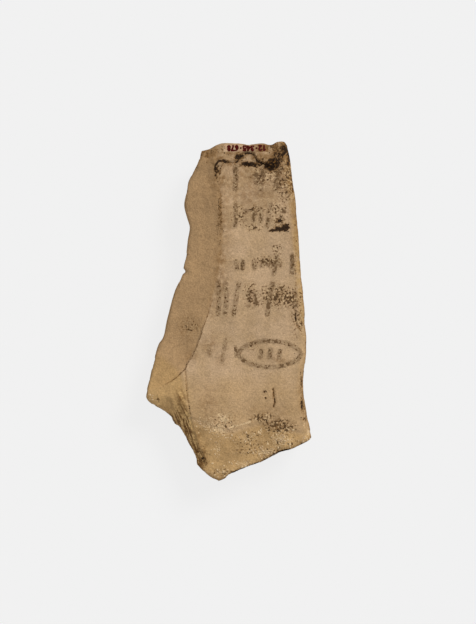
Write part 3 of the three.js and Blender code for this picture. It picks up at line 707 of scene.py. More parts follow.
def face_zones(flake, x, y, cut):
    """What the stone's material is told at each point of the written face."""
    ragged = 0.6 * fractal(x, y, 0, 2.2, 3, 81)
    sooty = 1.6 * fractal(x, y, 0, 1.0, 2, 191)
    along, across = y / flake.length + 0.5, x / flake.width + 0.5
    spalled = [past(cut["spall"], -0.4, 4), past(cut["facet"], -0.5, 3), 0.45 * short_of(along, 0.26, 0.08)]
    zones = {
        "scar": past(cut["scar"], -0.3, 1.4),
        "toe": np.maximum.reduce(spalled),
        "strip": short_of(cut["right"], 1.3, 2.6) * (0.35 + 0.65 * past(along, 0.4, 0.1)),
        "edge": short_of(cut["edge"], 0.2, 1.0),
        "broken": flake.splintered(x, y, cut),
        "rim": np.zeros(np.shape(x)),
    }
    tables = (("soot_and_shade", SOOT_AND_SHADE_PATCH_SHARES, 1), ("specks", SPECK_PATCH_SHARES, 0.5),
              ("earth_and_shade", EARTH_PATCH_SHARES, 1), ("painted_light", PAINTED_LIGHT_PATCH_SHARES, 0.6),
              ("lime", LIME_PATCH_SHARES, 1), ("broken", BREAK_PATCH_SHARES, 1))

    def raise_zone(name, amount):
        zones[name] = np.maximum(zones.get(name, 0), amount)

    for name, shares, raggedness in tables:
        raise_zone(name, patches(flake, shares, x, y, raggedness * ragged))
    raise_zone("soot_and_shade", streaks(flake, SOOT_STREAK_SHARES, x, y, sooty))
    raise_zone("lime", streaks(flake, LIME_STREAK_SHARES, x, y, 1.5 * ragged))

    # Black deposit in clumps below the ledge's step and its lip, also laid on as painted shadow of the raised
    # step; the wider band of earth colour round the step is painted soft shade
    started = past(across, 0.47, 0.03)
    lip_started = past(across, 0.6, 0.04)
    clumps = np.clip(0.85 + 0.7 * fractal(x, y, 0, 1.8, 3, 183), 0.45, 1.1)
    spread = 0.26 + 0.5 * np.maximum(fractal(x, y, 0, 2.8, 2, 85), 0)
    step = short_of(np.abs(cut["ledge"] + 0.45), 0.4 * spread, spread)
    lip = short_of(np.abs(cut["lip"] + 0.3), 0.2 * spread, spread)
    raise_zone("soot_and_shade", np.maximum(started * step * clumps, 0.9 * lip_started * lip * clumps))
    raise_zone("earth_and_shade", 0.9 * started * short_of(np.abs(cut["ledge"] + 0.4), 0.6, 2.4))

    # Earth lies beside the upper arris and in the cracks
    beside_arris = short_of(np.abs(cut["scar"] + 0.8), 0.8, 2.6) * past(along, 0.44, 0.08)
    raise_zone("earth_and_shade", 0.42 * beside_arris)
    # Painted shade: soot and earth colours along the foot of the scar's step, which faces away from the key
    # light
    below_step = short_of(np.abs(cut["scar"] - 0.2), 0.05, 0.34) * short_of(along, 0.52, 0.03)
    below_step = below_step * past(across, 0.09, 0.03) * past(across, 0.1, 0.05)
    raise_zone("soot_and_shade", 0.3 * below_step * (1 + 0.5 * ragged))
    raise_zone("earth_and_shade", 0.9 * below_step)
    raise_zone("earth_and_shade", np.minimum(3 * cut["crack"], 1))
    raise_zone("soot_and_shade", np.clip(3 * (cut["crack"] - 0.18) * (0.8 + ragged), 0, 0.9))

    # The toe's lower edge is broken, and darkened with soot and earth colours as painted shade of the rim
    # below the face, which turns from the key light
    middle_toe = past(across, 0.46, 0.12) * short_of(across, 0.8, 0.12)
    below_toe = short_of(cut["toe"], 0.75, 0.6) * (0.62 + 1.1 * fractal(x, y, 0, 1.3, 3, 187))
    raise_zone("soot_and_shade", 0.9 * below_toe * (0.5 + 0.7 * middle_toe))
    raise_zone("earth_and_shade", 0.6 * short_of(cut["toe"], 0.8, 1.2))

    # The break's edge is darkened where the outline cuts it, except at the left corner: earth stain, and
    # painted shade of the break's edge, which turns from the key light
    at_break = zones["broken"] * short_of(cut["edge"], 0.8, 1.4) * past(across, 0.12, 0.05)
    raise_zone("earth_and_shade", 0.8 * at_break)
    raise_zone("soot_and_shade", 0.14 * at_break * (1 + 1.6 * ragged))

    # The black grains follow the deposit zone, so they also gather where shade is painted with it
    zones["grit_and_shade"] = zones["soot_and_shade"]
    zones["ink"] = np.full(np.shape(x), -4.0)
    zones["ink_strength"] = np.zeros(np.shape(x))
    for name, strokes, pen, strength in ink_rows(flake):
        inside = pen_field(strokes, pen, x, y)
        raise_zone("specks", 0.6 * strength * past(inside, -0.3, 0.6))
        zones["ink_strength"] = np.where(inside > zones["ink"], strength, zones["ink_strength"])
        raise_zone("ink", inside)
    return zones


def new_piece(name, vertices, faces, material, smooth=True):
    """A piece at the origin from vertices in millimetres."""
    mesh = bpy.data.meshes.new(name)
    mesh.from_pydata((np.asarray(vertices) * MM).tolist(), [], [list(map(int, face)) for face in faces])
    mesh.materials.append(material)
    mesh.polygons.foreach_set("use_smooth", [smooth] * len(mesh.polygons))
    mesh.update()
    piece = bpy.data.objects.new(name, mesh)
    bpy.context.collection.objects.link(piece)
    return piece


def settle_piece(piece, replaced=()):
    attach(piece, BODY)
    if replaced:
        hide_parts(*replaced)


def plain_mesh(piece, name):
    """The piece with its modifiers' result as a plain mesh."""
    bpy.context.view_layer.update()
    evaluated = piece.evaluated_get(bpy.context.evaluated_depsgraph_get())
    mesh = bpy.data.meshes.new_from_object(evaluated)
    mesh.name = name
    done = bpy.data.objects.new(name, mesh)
    bpy.context.collection.objects.link(done)
    bpy.data.objects.remove(piece)
    return done


def build_stone(flake, material):
    """The stone: written face, rim and back as one closed mesh, with its zones as attributes."""
    along, across = grid_shares(ROWS, COLUMNS)
    even = flake.plan(along, across, np.full(along.shape, FACE_INSET))
    chips = np.maximum(fractal(even[..., 0], even[..., 1], 0, 2.6, 3, 90), 0) * 0.6
    top = flake.plan(along, across, FACE_INSET + chips)
    cut = flake.cuts(top[..., 0], top[..., 1])
    top_z = flake.face(top[..., 0], top[..., 1], cut)
    zones = face_zones(flake, top[..., 0], top[..., 1], cut)

    back_along, back_across = grid_shares(ROWS // 2, COLUMNS // 2)
    even = flake.plan(back_along, back_across, np.full(back_along.shape, BACK_INSET))
    ragged = BACK_RAGGEDNESS * waves(even[..., 0], even[..., 1], BACK_WAVE)
    ragged = ragged + 0.5 * fractal(even[..., 0], even[..., 1], 0, 4, 3, 94)
    back = flake.plan(back_along, back_across, BACK_INSET + ragged)
    back_z = flake.back(back[..., 0], back[..., 1]) + flake.back_relief(back[..., 0], back[..., 1])

    fine_row, fine_column = edge_of(ROWS, COLUMNS)
    coarse_row, coarse_column = edge_of(ROWS // 2, COLUMNS // 2)
    edge_along, edge_across = along[fine_row, fine_column], across[fine_row, fine_column]
    brow = top_z[fine_row, fine_column]
    foot_coarse = back_z[coarse_row, coarse_column]
    foot_round = np.append(foot_coarse, foot_coarse[0])
    way = np.arange(len(brow))
    foot = np.interp(way / 2, np.arange(len(foot_round)), foot_round)
    courses, hollows = [], []
    for course in range(1, RIM_COURSES):
        share = course / RIM_COURSES
        height = foot + (brow - foot) * share
        inset = rim_inset(share)
        guide = flake.plan(edge_along, edge_across, np.full(edge_along.shape, inset))
        gx, gy = guide[:, 0], guide[:, 1]
        slow = 1 + waves(gx + height, gy - height, RIM_WAVE)
        layered = 0.3 * np.tanh(3 * fractal(gx / 6, gy / 6, height, 2.0, 2, 97))
        crumbly = 0.5 * fractal(gx, gy, height, 2.2, 4, 101)
        struck = RIM_SCOOP_DEPTH * (scoops(gx, gy, height, RIM_SCOOP) - RIM_SCOOP_LEVEL_SHARE)
        chips = CHIP_DEPTH * (scoops(gx, gy, height, CHIP) - RIM_SCOOP_LEVEL_SHARE)
        middle = math.sin(math.pi * share) ** 0.5
        rough = middle * (struck + chips + flake.relief * (layered + crumbly))
        # How hollow the rim is here; it is coloured with earth below, as stain and as painted shade of the
        # recesses
        hollows.append(smooth_step(crumbly + 0.3 * layered + 0.3 * (struck + chips) - 0.05, 0.5))
        inset = np.maximum(inset + RIM_ROUGHNESS * slow + rough, LEAST_RIM_INSET)
        point = flake.plan(edge_along, edge_across, inset)
        lifted = height + flake.relief * middle * 0.35 * fractal(gx, gy, height, 2.4, 2, 105)
        courses.append(np.column_stack([point, lifted]))

    vertices = [np.column_stack([top.reshape(-1, 2), top_z.ravel()]),
                np.column_stack([back.reshape(-1, 2), back_z.ravel()])] + courses
    top_count, back_count = len(vertices[0]), len(vertices[1])
    rings = [top_count + back_count + index * len(way) + way for index in range(len(courses))]
    rings.append(fine_row * (COLUMNS + 1) + fine_column)
    faces = [sheet_quads(ROWS, COLUMNS, 0, True),
             sheet_quads(ROWS // 2, COLUMNS // 2, top_count, False)]
    for lower, upper in zip(rings, rings[1:]):
        faces.append(np.stack([lower, np.roll(lower, -1), np.roll(upper, -1), upper], axis=1))
    coarse = top_count + coarse_row * (COLUMNS // 2 + 1) + coarse_column
    following = np.roll(coarse, -1)
    fine, middle_fine, next_fine = rings[0][0::2], rings[0][1::2], np.roll(rings[0], -2)[0::2]
    triangles = [np.stack([coarse, following, middle_fine], axis=1),
                 np.stack([coarse, middle_fine, fine], axis=1),
                 np.stack([following, next_fine, middle_fine], axis=1)]
    every_face = [face for part in faces + triangles for face in part]
    stone = new_piece("stone", np.vstack(vertices), every_face, material)

    # The rim's upper courses are darkened with earth and soot colours, most of all at the toe and the right:
    # earth stain all round, and painted shade at the toe and the broken left corner, which turn from the key
    # light
    rim_points = np.vstack(courses)
    side_shares = 0.5 + 0.5 * (edge_along == 0) + 0.32 * (edge_across == 1)
    side_shares = np.maximum(side_shares, 0.85 * (edge_across == 0) * (edge_along < 0.23))
    upper = smooth_step((np.arange(1, RIM_COURSES) / RIM_COURSES) - 0.6, 0.3)
    worn_grain = np.clip(0.95 + 0.9 * fractal(*rim_points.T, 2.2, 3, 109), 0, 1)
    dark_grain = np.clip(0.9 + 1.2 * fractal(*rim_points.T, 1.6, 3, 113), 0, 1)
    worn = np.outer(upper, side_shares).ravel() * worn_grain
    dark = np.outer(upper, side_shares - 0.5).ravel() * dark_grain
    beyond = {name: np.zeros(back_count + len(rim_points)) for name in zones}
    beyond["rim"] += 1
    beyond["ink"] -= 4
    beyond["soot_and_shade"][back_count:] = dark
    beyond["earth_and_shade"][back_count:] = np.maximum(np.concatenate(hollows), worn)
    proud = back_z - flake.back(back[..., 0], back[..., 1])
    beyond["earth_and_shade"][:back_count] = past(proud.ravel(), 0.2, 0.5)
    for name, values in zones.items():
        attribute = stone.data.attributes.new(name, "FLOAT", "POINT")
        attribute.data.foreach_set("value", np.concatenate([values.ravel(), beyond[name]]).astype(np.float32))
    return stone


def surface_of(stone):
    return BVHTree.FromObject(stone, bpy.context.evaluated_depsgraph_get())


def contour_sheet(field, xs, ys):
    """Vertices and faces of the part of a grid where field is positive, with smooth edges."""
    vertices, faces, known = [], [], {}

    def vertex(key, x, y):
        if key not in known:
            known[key] = len(vertices)
            vertices.append((x, y))
        return known[key]

    positive = field > 0
    cells = positive[:-1, :-1] | positive[1:, :-1] | positive[:-1, 1:] | positive[1:, 1:]
    for row, column in np.argwhere(cells):
        corners = [(row, column), (row, column + 1), (row + 1, column + 1), (row + 1, column)]
        face = []
        for here, there in zip(corners, corners[1:] + corners[:1]):
            value, following = field[here], field[there]
            if value > 0:
                face.append(vertex(here, xs[here[1]], ys[here[0]]))
            if (value > 0) != (following > 0):
                share = value / (value - following)
                x = xs[here[1]] + share * (xs[there[1]] - xs[here[1]])
                y = ys[here[0]] + share * (ys[there[0]] - ys[here[0]])
                face.append(vertex(tuple(sorted([here, there])), x, y))
        if len(face) > 2:
            faces.append(face)
    return np.array(vertices), faces


def build_film(name, flake, surface, field_at, region, cell, thickness, material):
    """A thin film that lies on the stone wherever field_at is positive, and ends short of its edge."""
    (low_x, low_y), (high_x, high_y) = region
    xs = np.arange(low_x, high_x + cell, cell)
    ys = np.arange(low_y, high_y + cell, cell)
    grid_x, grid_y = np.meshgrid(xs, ys)
    field = np.minimum(field_at(grid_x, grid_y), flake.inside(grid_x, grid_y) - FILM_MARGIN)
    flat, faces = contour_sheet(field, xs, ys)
    if not len(faces):
        raise RuntimeError(f"{name} has no film anywhere on the stone")
    draped = []
    for x, y in flat:
        hit = surface.ray_cast(Vector((x * MM, y * MM, 1)), Vector((0, 0, -1)))[0]
        if hit is None:
            raise RuntimeError(f"{name} reaches past the stone")
        draped.append((x, y, hit.z / MM + thickness / 2))
    film = new_piece(name, draped, faces, material)
    film.name = name + "_sheet"
    solid = film.modifiers.new("thickness", "SOLIDIFY")
    solid.thickness = thickness * 1.6 * MM
    solid.offset = -1
    return plain_mesh(film, name)


def around(points, margin):
    points = np.vstack(points)
    return points.min(axis=0) - margin, points.max(axis=0) + margin


def add(tree, kind, inputs=None, **settings):
    """A node with its settings, and its inputs as values or as sockets to link."""
    node = tree.nodes.new(kind)
    for name, value in settings.items():
        setattr(node, name, value)
    for name, value in (inputs or {}).items():
        socket = node.inputs[name]
        if isinstance(value, bpy.types.NodeSocket):
            tree.links.new(value, socket)
        else:
            socket.default_value = value
    return node


def linear(colour):
    """An sRGB hex colour as linear red, green, blue and alpha."""
    channels = []
    for place in (1, 3, 5):
        value = int(colour[place:place + 2], 16) / 255
        channels.append(value / 12.92 if value <= 0.04045 else ((value + 0.055) / 1.055) ** 2.4)
    return channels + [1]


def new_material(name):
    """A material with its tree, its shader and its coordinates in millimetres."""
    material = bpy.data.materials.new(name)
    material.use_nodes = True
    tree = material.node_tree
    shader = tree.nodes["Principled BSDF"]
    place = add(tree, "ShaderNodeTexCoord").outputs["Object"]
    scale = (1 / MM,) * 3
    millimetres = add(tree, "ShaderNodeMapping", {"Vector": place, "Scale": scale}).outputs["Vector"]
    return material, tree, shader, millimetres


def speckle(tree, place, size, low, high, detail=4.0, stretch=None):
    """Noise with lumps of a size in millimetres, as a share that goes from 0 at low to 1 at high."""
    if stretch:
        drawn_out = {"Vector": place, "Rotation": stretch[0], "Scale": stretch[1]}
        place = add(tree, "ShaderNodeMapping", drawn_out, vector_type="TEXTURE").outputs[0]
    grain = add(tree, "ShaderNodeTexNoise", {"Vector": place, "Scale": 1 / size, "Detail": detail})
    return spread_of(tree, grain.outputs["Fac"], low, high)


def blend_colour(tree, share, below, above):
    mixed = add(tree, "ShaderNodeMix", {"Factor": share}, data_type="RGBA")
    for socket, value in ((mixed.inputs[6], below), (mixed.inputs[7], above)):
        if isinstance(value, bpy.types.NodeSocket):
            tree.links.new(value, socket)
        else:
            socket.default_value = linear(value)
    return mixed.outputs[2]


def calculate(tree, operation, *values, clamp=False):
    inputs = dict(enumerate(values))
    return add(tree, "ShaderNodeMath", inputs, operation=operation, use_clamp=clamp).outputs[0]


def attribute_of(tree, name):
    return add(tree, "ShaderNodeAttribute", attribute_name=name).outputs["Fac"]


def tinted(tree, colour, share, strength, above):
    """The colour with another laid over it, as far as share times strength."""
    return blend_colour(tree, calculate(tree, "MULTIPLY", share, strength), colour, above)


def spread_of(tree, value, low, high):
    """A share that goes from 0 at low to 1 at high."""
    inputs = {"Value": value, "From Min": low, "From Max": high}
    return add(tree, "ShaderNodeMapRange", inputs, interpolation_type="SMOOTHSTEP").outputs["Result"]


def dull_surface(tree, shader, place, colour, tooth, roughness, gloss):
    """Gives the shader its colour, a tooth, and its roughness and gloss.

    The tooth is a size in millimetres, a detail, a strength and a height in millimetres.
    """
    size, detail, strength, height = tooth
    grain = add(tree, "ShaderNodeTexNoise", {"Vector": place, "Scale": 1 / size, "Detail": detail})
    relief = {"Height": grain.outputs["Fac"], "Strength": strength, "Distance": height * MM}
    bump = add(tree, "ShaderNodeBump", relief)
    tree.links.new(colour, shader.inputs["Base Color"])
    tree.links.new(bump.outputs["Normal"], shader.inputs["Normal"])
    shader.inputs["Roughness"].default_value = roughness
    shader.inputs["Specular IOR Level"].default_value = gloss


def limestone_material(colours):
    """Fine-grained tan limestone, struck and weathered: matt, with chalky grain and pores."""
    material, tree, shader, place = new_material("struck_limestone")
    colour = blend_colour(tree, speckle(tree, place, 9, 0.35, 0.65), colours.bed, colours.bed_warm)
    colour = tinted(tree, colour, attribute_of(tree, "scar"), 0.9, colours.scar)
    colour = tinted(tree, colour, attribute_of(tree, "toe"), 0.9, colours.toe)
    worn = calculate(tree, "MULTIPLY", attribute_of(tree, "strip"), speckle(tree, place, 2.6, 0.2, 0.55))
    colour = blend_colour(tree, worn, colour, colours.strip)
    patina = calculate(tree, "MULTIPLY", speckle(tree, place, 16, 0.35, 0.65, 5.0), 0.6)
    rim = blend_colour(tree, patina, colours.rim, colours.strip)
    stains = calculate(tree, "MULTIPLY", speckle(tree, place, 2.4, 0.5, 0.75, 5.0), 0.4)
    rim = blend_colour(tree, stains, rim, colours.earth_and_shade)
    colour = blend_colour(tree, attribute_of(tree, "rim"), colour, rim)
    splinters = speckle(tree, place, 0.85, 0.48, 0.54, 1.0, ((0, 0, 0.36), (1, 9, 3)))
    crumbs = speckle(tree, place, 0.9, 0.5, 0.58, 2.0)
    splinters = calculate(tree, "MULTIPLY", splinters, 0.8)
    splinters = calculate(tree, "ADD", splinters, calculate(tree, "MULTIPLY", crumbs, 0.46), clamp=True)
    broken = attribute_of(tree, "broken")
    splits = calculate(tree, "MULTIPLY", splinters, broken)
    inside = blend_colour(tree, splits, colours.inside, colours.inside_dark)
    colour = blend_colour(tree, broken, colour, inside)
    # Painted light: paler colour on edges and corners that slope away from the key light
    colour = tinted(tree, colour, attribute_of(tree, "painted_light"), 0.7, colours.painted_light)
    # Earth in the pores; the earth zone also holds painted shade at the ledge, the scar's step, the toe, the
    # break's edge and the rim
    pores = speckle(tree, place, 1.8, 0.25, 0.6, 5.0)
    # The edge zone darkens a band along the outline with the broken stone's dark colour, as patina and as
    # painted shade of edges turned from the key light
    chips = speckle(tree, place, 1.6, 0.38, 0.56)
    laid_over = (("earth_and_shade", pores, 0.8, colours.earth_and_shade), ("edge", chips, 0.5, colours.inside_dark))
    for zone, grain, strength, tint in laid_over:
        share = calculate(tree, "MULTIPLY", attribute_of(tree, zone), grain)
        colour = tinted(tree, colour, share, strength, tint)

    # Mottling that only lightens and darkens: lumps of the bed, grains of a millimetre, and grit
    lightness = 1.0
    for size, swing, detail in ((14, 0.07, 3.0), (3.2, 0.055, 4.0), (1.1, 0.085, 5.0), (0.55, 0.11, 3.0)):
        grain = speckle(tree, place, size, 0.25, 0.75, detail)
        part = calculate(tree, "MULTIPLY_ADD", grain, 2 * swing, 1 - swing)
        lightness = calculate(tree, "MULTIPLY", part, lightness)
    shaded = add(tree, "ShaderNodeVectorMath", {0: colour}, operation="SCALE")
    tree.links.new(lightness, shaded.inputs["Scale"])
    colour = shaded.outputs[0]
    colour = tinted(tree, colour, speckle(tree, place, 0.8, 0.66, 0.74, 2.0), 0.4, colours.earth_and_shade)

    # Ink soaked into the stone: its edge wanders by 0.4 mm either way, and it has worn away
    wander = calculate(tree, "SUBTRACT", speckle(tree, place, 0.9, 0.2, 0.8), 0.5)
    wander = calculate(tree, "MULTIPLY", wander, 0.8)
    soaked = spread_of(tree, calculate(tree, "ADD", attribute_of(tree, "ink"), wander), -0.45, 0.4)
    kept = calculate(tree, "MULTIPLY_ADD", speckle(tree, place, 2.2, 0.3, 0.6, 5.0), 0.6, 0.32)
    kept = calculate(tree, "MULTIPLY", kept, attribute_of(tree, "ink_strength"))
    soaked = calculate(tree, "MULTIPLY", soaked, kept)
    colour = blend_colour(tree, soaked, colour, colours.ink)

    # Black specks: pits of half a millimetre to one millimetre that ink and soot have filled, with
    # pale crumbs of bruised stone between them
    specks = attribute_of(tree, "specks")
    crumbs = calculate(tree, "MULTIPLY", specks, speckle(tree, place, 0.7, 0.54, 0.6, 1.0))
    colour = tinted(tree, colour, crumbs, 0.66, colours.lime)
    gathered = calculate(tree, "MULTIPLY_ADD", speckle(tree, place, 2.2, 0.35, 0.65, 3.0), 0.3, 0.34)
    pits = speckle(tree, place, 0.9, 0.28, 0.72, 2.0)
    filled = calculate(tree, "SUBTRACT", calculate(tree, "MULTIPLY", specks, gathered), pits)
    present = spread_of(tree, specks, 0.05, 0.4)
    for low, high, strength, tint in ((-0.3, 0.05, 0.5, colours.earth_and_shade), (-0.02, 0.14, 0.85, colours.specks)):
        share = calculate(tree, "MULTIPLY", spread_of(tree, filled, low, high), present)
        colour = tinted(tree, colour, share, strength, tint)

    # Black deposit, and shade painted with the deposit's colours: dense in the middle of a patch, and broken
    # up into specks at its edge
    reach = calculate(tree, "SUBTRACT", calculate(tree, "MULTIPLY", attribute_of(tree, "soot_and_shade"), 1.9),
                      speckle(tree, place, 0.85, 0.25, 0.75, 5.0))
    colour = tinted(tree, colour, spread_of(tree, reach, -0.25, 0.4), 0.8, colours.earth_and_shade)
    colour = tinted(tree, colour, spread_of(tree, reach, 0.1, 0.7), 0.93, colours.soot_and_shade)
    chalky = calculate(tree, "SUBTRACT", calculate(tree, "MULTIPLY", attribute_of(tree, "lime"), 1.1),
                       speckle(tree, place, 0.6, 0.3, 0.7, 5.0))
    colour = tinted(tree, colour, spread_of(tree, chalky, 0.1, 0.4), 0.6, colours.lime)

    # Chalky tooth of half a millimetre, drawn coarser than the real grain so that it shows
    dull_surface(tree, shader, place, colour, (0.55, 5.0, 0.7, 0.3), 0.93, 0.15)
    return material


def film_material(name, dark, light, size, roughness, stain=None, worn=(0.35, 0.65)):
    """A film on the stone that is worn thin in places, where the stone's colour comes through.

    A stain is a colour, and where across the stone it begins and is full, in millimetres.
    """
    material, tree, shader, place = new_material(name)
    colour = blend_colour(tree, speckle(tree, place, size, *worn), dark, light)
    if stain:
        across = add(tree, "ShaderNodeSeparateXYZ", {"Vector": place}).outputs["X"]
        begun = spread_of(tree, across, *stain[1:])
        patchy = calculate(tree, "MULTIPLY", begun, speckle(tree, place, 1.6, 0.2, 0.5))
        colour = tinted(tree, colour, patchy, 0.9, stain[0])
    dull_surface(tree, shader, place, colour, (0.4, 4.0, 0.4, 0.2), roughness, 0.06)
    return material


def grain_tree():
    """Geometry Nodes: scatters flattened grains over a surface, as densely as an attribute says."""
    tree = bpy.data.node_groups.new("scattered_grains", "GeometryNodeTree")
    sockets = {"Geometry": "Geometry", "Share": "String", "Density": "Float", "Least Size": "Float",
               "Greatest Size": "Float", "Flatness": "Float", "Seed": "Int", "Material": "Material"}
    for name, kind in sockets.items():
        tree.interface.new_socket(name, in_out="INPUT", socket_type="NodeSocket" + kind)
    tree.interface.new_socket("Geometry", in_out="OUTPUT", socket_type="NodeSocketGeometry")
    given = add(tree, "NodeGroupInput").outputs
    share = add(tree, "GeometryNodeInputNamedAttribute", {"Name": given["Share"]}).outputs["Attribute"]
    density = add(tree, "ShaderNodeMath", {0: share, 1: given["Density"]}, operation="MULTIPLY").outputs[0]
    points = add(tree, "GeometryNodeDistributePointsOnFaces",
                 {"Mesh": given["Geometry"], "Density": density, "Seed": given["Seed"]})
    grain = add(tree, "GeometryNodeMeshIcoSphere", {"Radius": 1.0, "Subdivisions": 2}).outputs["Mesh"]
    place = add(tree, "GeometryNodeInputPosition").outputs["Position"]
    lumps = add(tree, "ShaderNodeTexNoise", {"Vector": place, "Scale": 1.1, "Detail": 1.0}).outputs["Color"]
    push = add(tree, "ShaderNodeVectorMath", {0: lumps, 1: (0.5, 0.5, 0.5)}, operation="SUBTRACT").outputs[0]
    lumpy = add(tree, "GeometryNodeSetPosition", {"Geometry": grain, "Offset": push}).outputs["Geometry"]

    # Each grain's size, its unevenness and its turn
    ranges = (("FLOAT", given["Least Size"], given["Greatest Size"]),
              ("FLOAT_VECTOR", (0.6, 0.6, 0.7), (1.3, 1.3, 1.1)),
              ("FLOAT_VECTOR", (0, 0, 0), (0, 0, 2 * math.pi)))
    drawn = []
    for kind, least, greatest in ranges:
        limits = {"Min": least, "Max": greatest, "Seed": given["Seed"]}
        value = add(tree, "FunctionNodeRandomValue", limits, data_type=kind)
        drawn += [socket for socket in value.outputs if socket.enabled]
    size, uneven, spin = drawn
    flat = add(tree, "ShaderNodeCombineXYZ", {"X": 1.0, "Y": 1.0, "Z": given["Flatness"]}).outputs[0]
    scale = add(tree, "ShaderNodeVectorMath", {0: uneven, 1: flat}, operation="MULTIPLY").outputs[0]
    scale = add(tree, "ShaderNodeVectorMath", {0: scale, "Scale": size}, operation="SCALE").outputs[0]
    placed = add(tree, "GeometryNodeInstanceOnPoints", {
        "Points": points.outputs["Points"], "Instance": lumpy,
        "Rotation": points.outputs["Rotation"], "Scale": scale}).outputs["Instances"]
    turned = add(tree, "GeometryNodeRotateInstances", {"Instances": placed, "Rotation": spin})
    real = add(tree, "GeometryNodeRealizeInstances", {"Geometry": turned.outputs["Instances"]})
    smooth = add(tree, "GeometryNodeSetShadeSmooth", {"Geometry": real.outputs["Geometry"]})
    finished = add(tree, "GeometryNodeSetMaterial", {"Geometry": smooth.outputs["Geometry"],
                                                     "Material": given["Material"]})
    add(tree, "NodeGroupOutput", {"Geometry": finished.outputs["Geometry"]})
    return tree


def scatter(tree, stone, name, share, density, sizes, flatness, seed, material):
    """Grains over the stone as one plain mesh. Density is in grains to a square millimetre."""
    base = bpy.data.objects.new(name + "_base", stone.data.copy())
    bpy.context.collection.objects.link(base)
    modifier = base.modifiers.new("grains", "NODES")
    modifier.node_group = tree
    values = {"Share": share, "Density": density / MM**2, "Least Size": sizes[0] * MM,
              "Greatest Size": sizes[1] * MM, "Flatness": flatness, "Seed": seed, "Material": material}
    for item in tree.interface.items_tree:
        if item.in_out == "INPUT" and item.name in values:
            modifier[item.identifier] = values[item.name]
    return plain_mesh(base, name)


def length_property(name, description, default, least):
    return bpy.props.FloatProperty(
        name=name, description=description, default=default, min=least, unit="LENGTH")


def colour_property(name, description, default):
    return bpy.props.StringProperty(
        name=name, description=description + ", as an sRGB hex value", default=default)


class OstraconStone(bpy.types.PropertyGroup):
    length: length_property("Length", "From the toe to the head, over the outline", OUTLINE_LENGTH, 0.01)
    width: length_property("Width", "From the left corner to the right one", OUTLINE_WIDTH, 0.01)
    face_height: length_property("Face Height", "The written face above the back's bed", 0.02, 0.005)
    scar_depth: length_property("Scar Depth", "What the long scar tends to, away from its arris", 0.009, 0)
    relief: bpy.props.FloatProperty(
        name="Relief", description="Strength of the fine relief, 1 as photographed", default=1.0,
        min=0, max=2, subtype="FACTOR")


class OstraconColours(bpy.types.PropertyGroup):
    bed: colour_property("Bed", "The written face", "#b89b7a")
    bed_warm: colour_property("Warm Bed", "Yellower parts of the written face", "#b09370")
    scar: colour_property("Scar", "The long scar", "#a98861")
    toe: colour_property("Toe", "The spalled toe", "#ae8c5e")
    strip: colour_property("Strip", "The worn right-hand bevel", "#ab8b5e")
    rim: colour_property("Rim", "Broken stone of the rim and the back", "#b2936a")
    inside: colour_property("Inside", "Fresh broken stone beside the toe", "#d8b279")
    # Also darkens the band along the outline, as patina and as painted shade
    inside_dark: colour_property("Dark Inside", "Splits and beds of the broken stone", "#664320")
    # Painted light colour for edges and corners that slope away from the key light
    painted_light: colour_property("Painted Light", "Paler colour on edges that slope away from the key light", "#d2ac76")
    # Earth colour, also used for painted shade
    earth_and_shade: colour_property("Earth and Shade", "Brown earth in the pores", "#735129")
    ink: colour_property("Ink", "Lamp black soaked into the stone", "#6b533a")
    ink_film: colour_property("Ink Film", "Ink that still lies on the stone", "#6b5338")
    specks: colour_property("Specks", "Pits filled with ink and soot", "#3f2a15")
    # Deposit colour, also used for painted shade and shadow
    soot_and_shade: colour_property("Deposit and Shade", "Black crust", "#21150d")
    lime: colour_property("Lime", "Pale lime crust", "#d9bd93")
    ground: colour_property("Number Ground", "Lacquer under the number", "#a88364")
    figures: colour_property("Figures", "Dark red paint of the number", "#450c06")


class OstraconMarks(bpy.types.PropertyGroup):
    film_cell: length_property("Film Cell", "Mesh size of the ink films", 0.0002, 0.00005)
    film_thickness: length_property("Film Thickness", "Of the ink and the lacquer", 0.00006, 0.00001)
    crust_thickness: length_property("Crust Thickness", "Of the black crust", 0.00018, 0.00001)
    figure_height: length_property("Figure Height", "Between the middles of the strokes", 0.00198, 0.0005)
    figure_pen: length_property("Figure Pen", "Width of the figures' strokes", 0.00078, 0.0001)


class OstraconStage(bpy.types.PropertyGroup):
    backdrop: colour_property("Backdrop", "Floor and background", "#f1f1f1")
    key_angle: bpy.props.FloatProperty(
        name="Key Angle", description="Height of the key light above the horizon", default=math.radians(42),
        subtype="ANGLE")
    key_turn: bpy.props.FloatProperty(
        name="Key Turn", description="Direction of the key light, from the head towards the right",
        default=math.radians(42), subtype="ANGLE")
    ambient: bpy.props.FloatProperty(
        name="Ambient", description="Share of the light that comes from all round", default=0.5, min=0, max=1,
        subtype="FACTOR")


def settings(scene):
    """The flake by its settings, and the settings of its colours and its marks."""
    return Flake(scene.ostracon_stone), scene.ostracon_colours, scene.ostracon_marks


def built_stone():
    stone = bpy.data.objects.get("stone")
    if stone is None:
        raise RuntimeError("Build the stone first: the films and grains lie on it")
    return stone


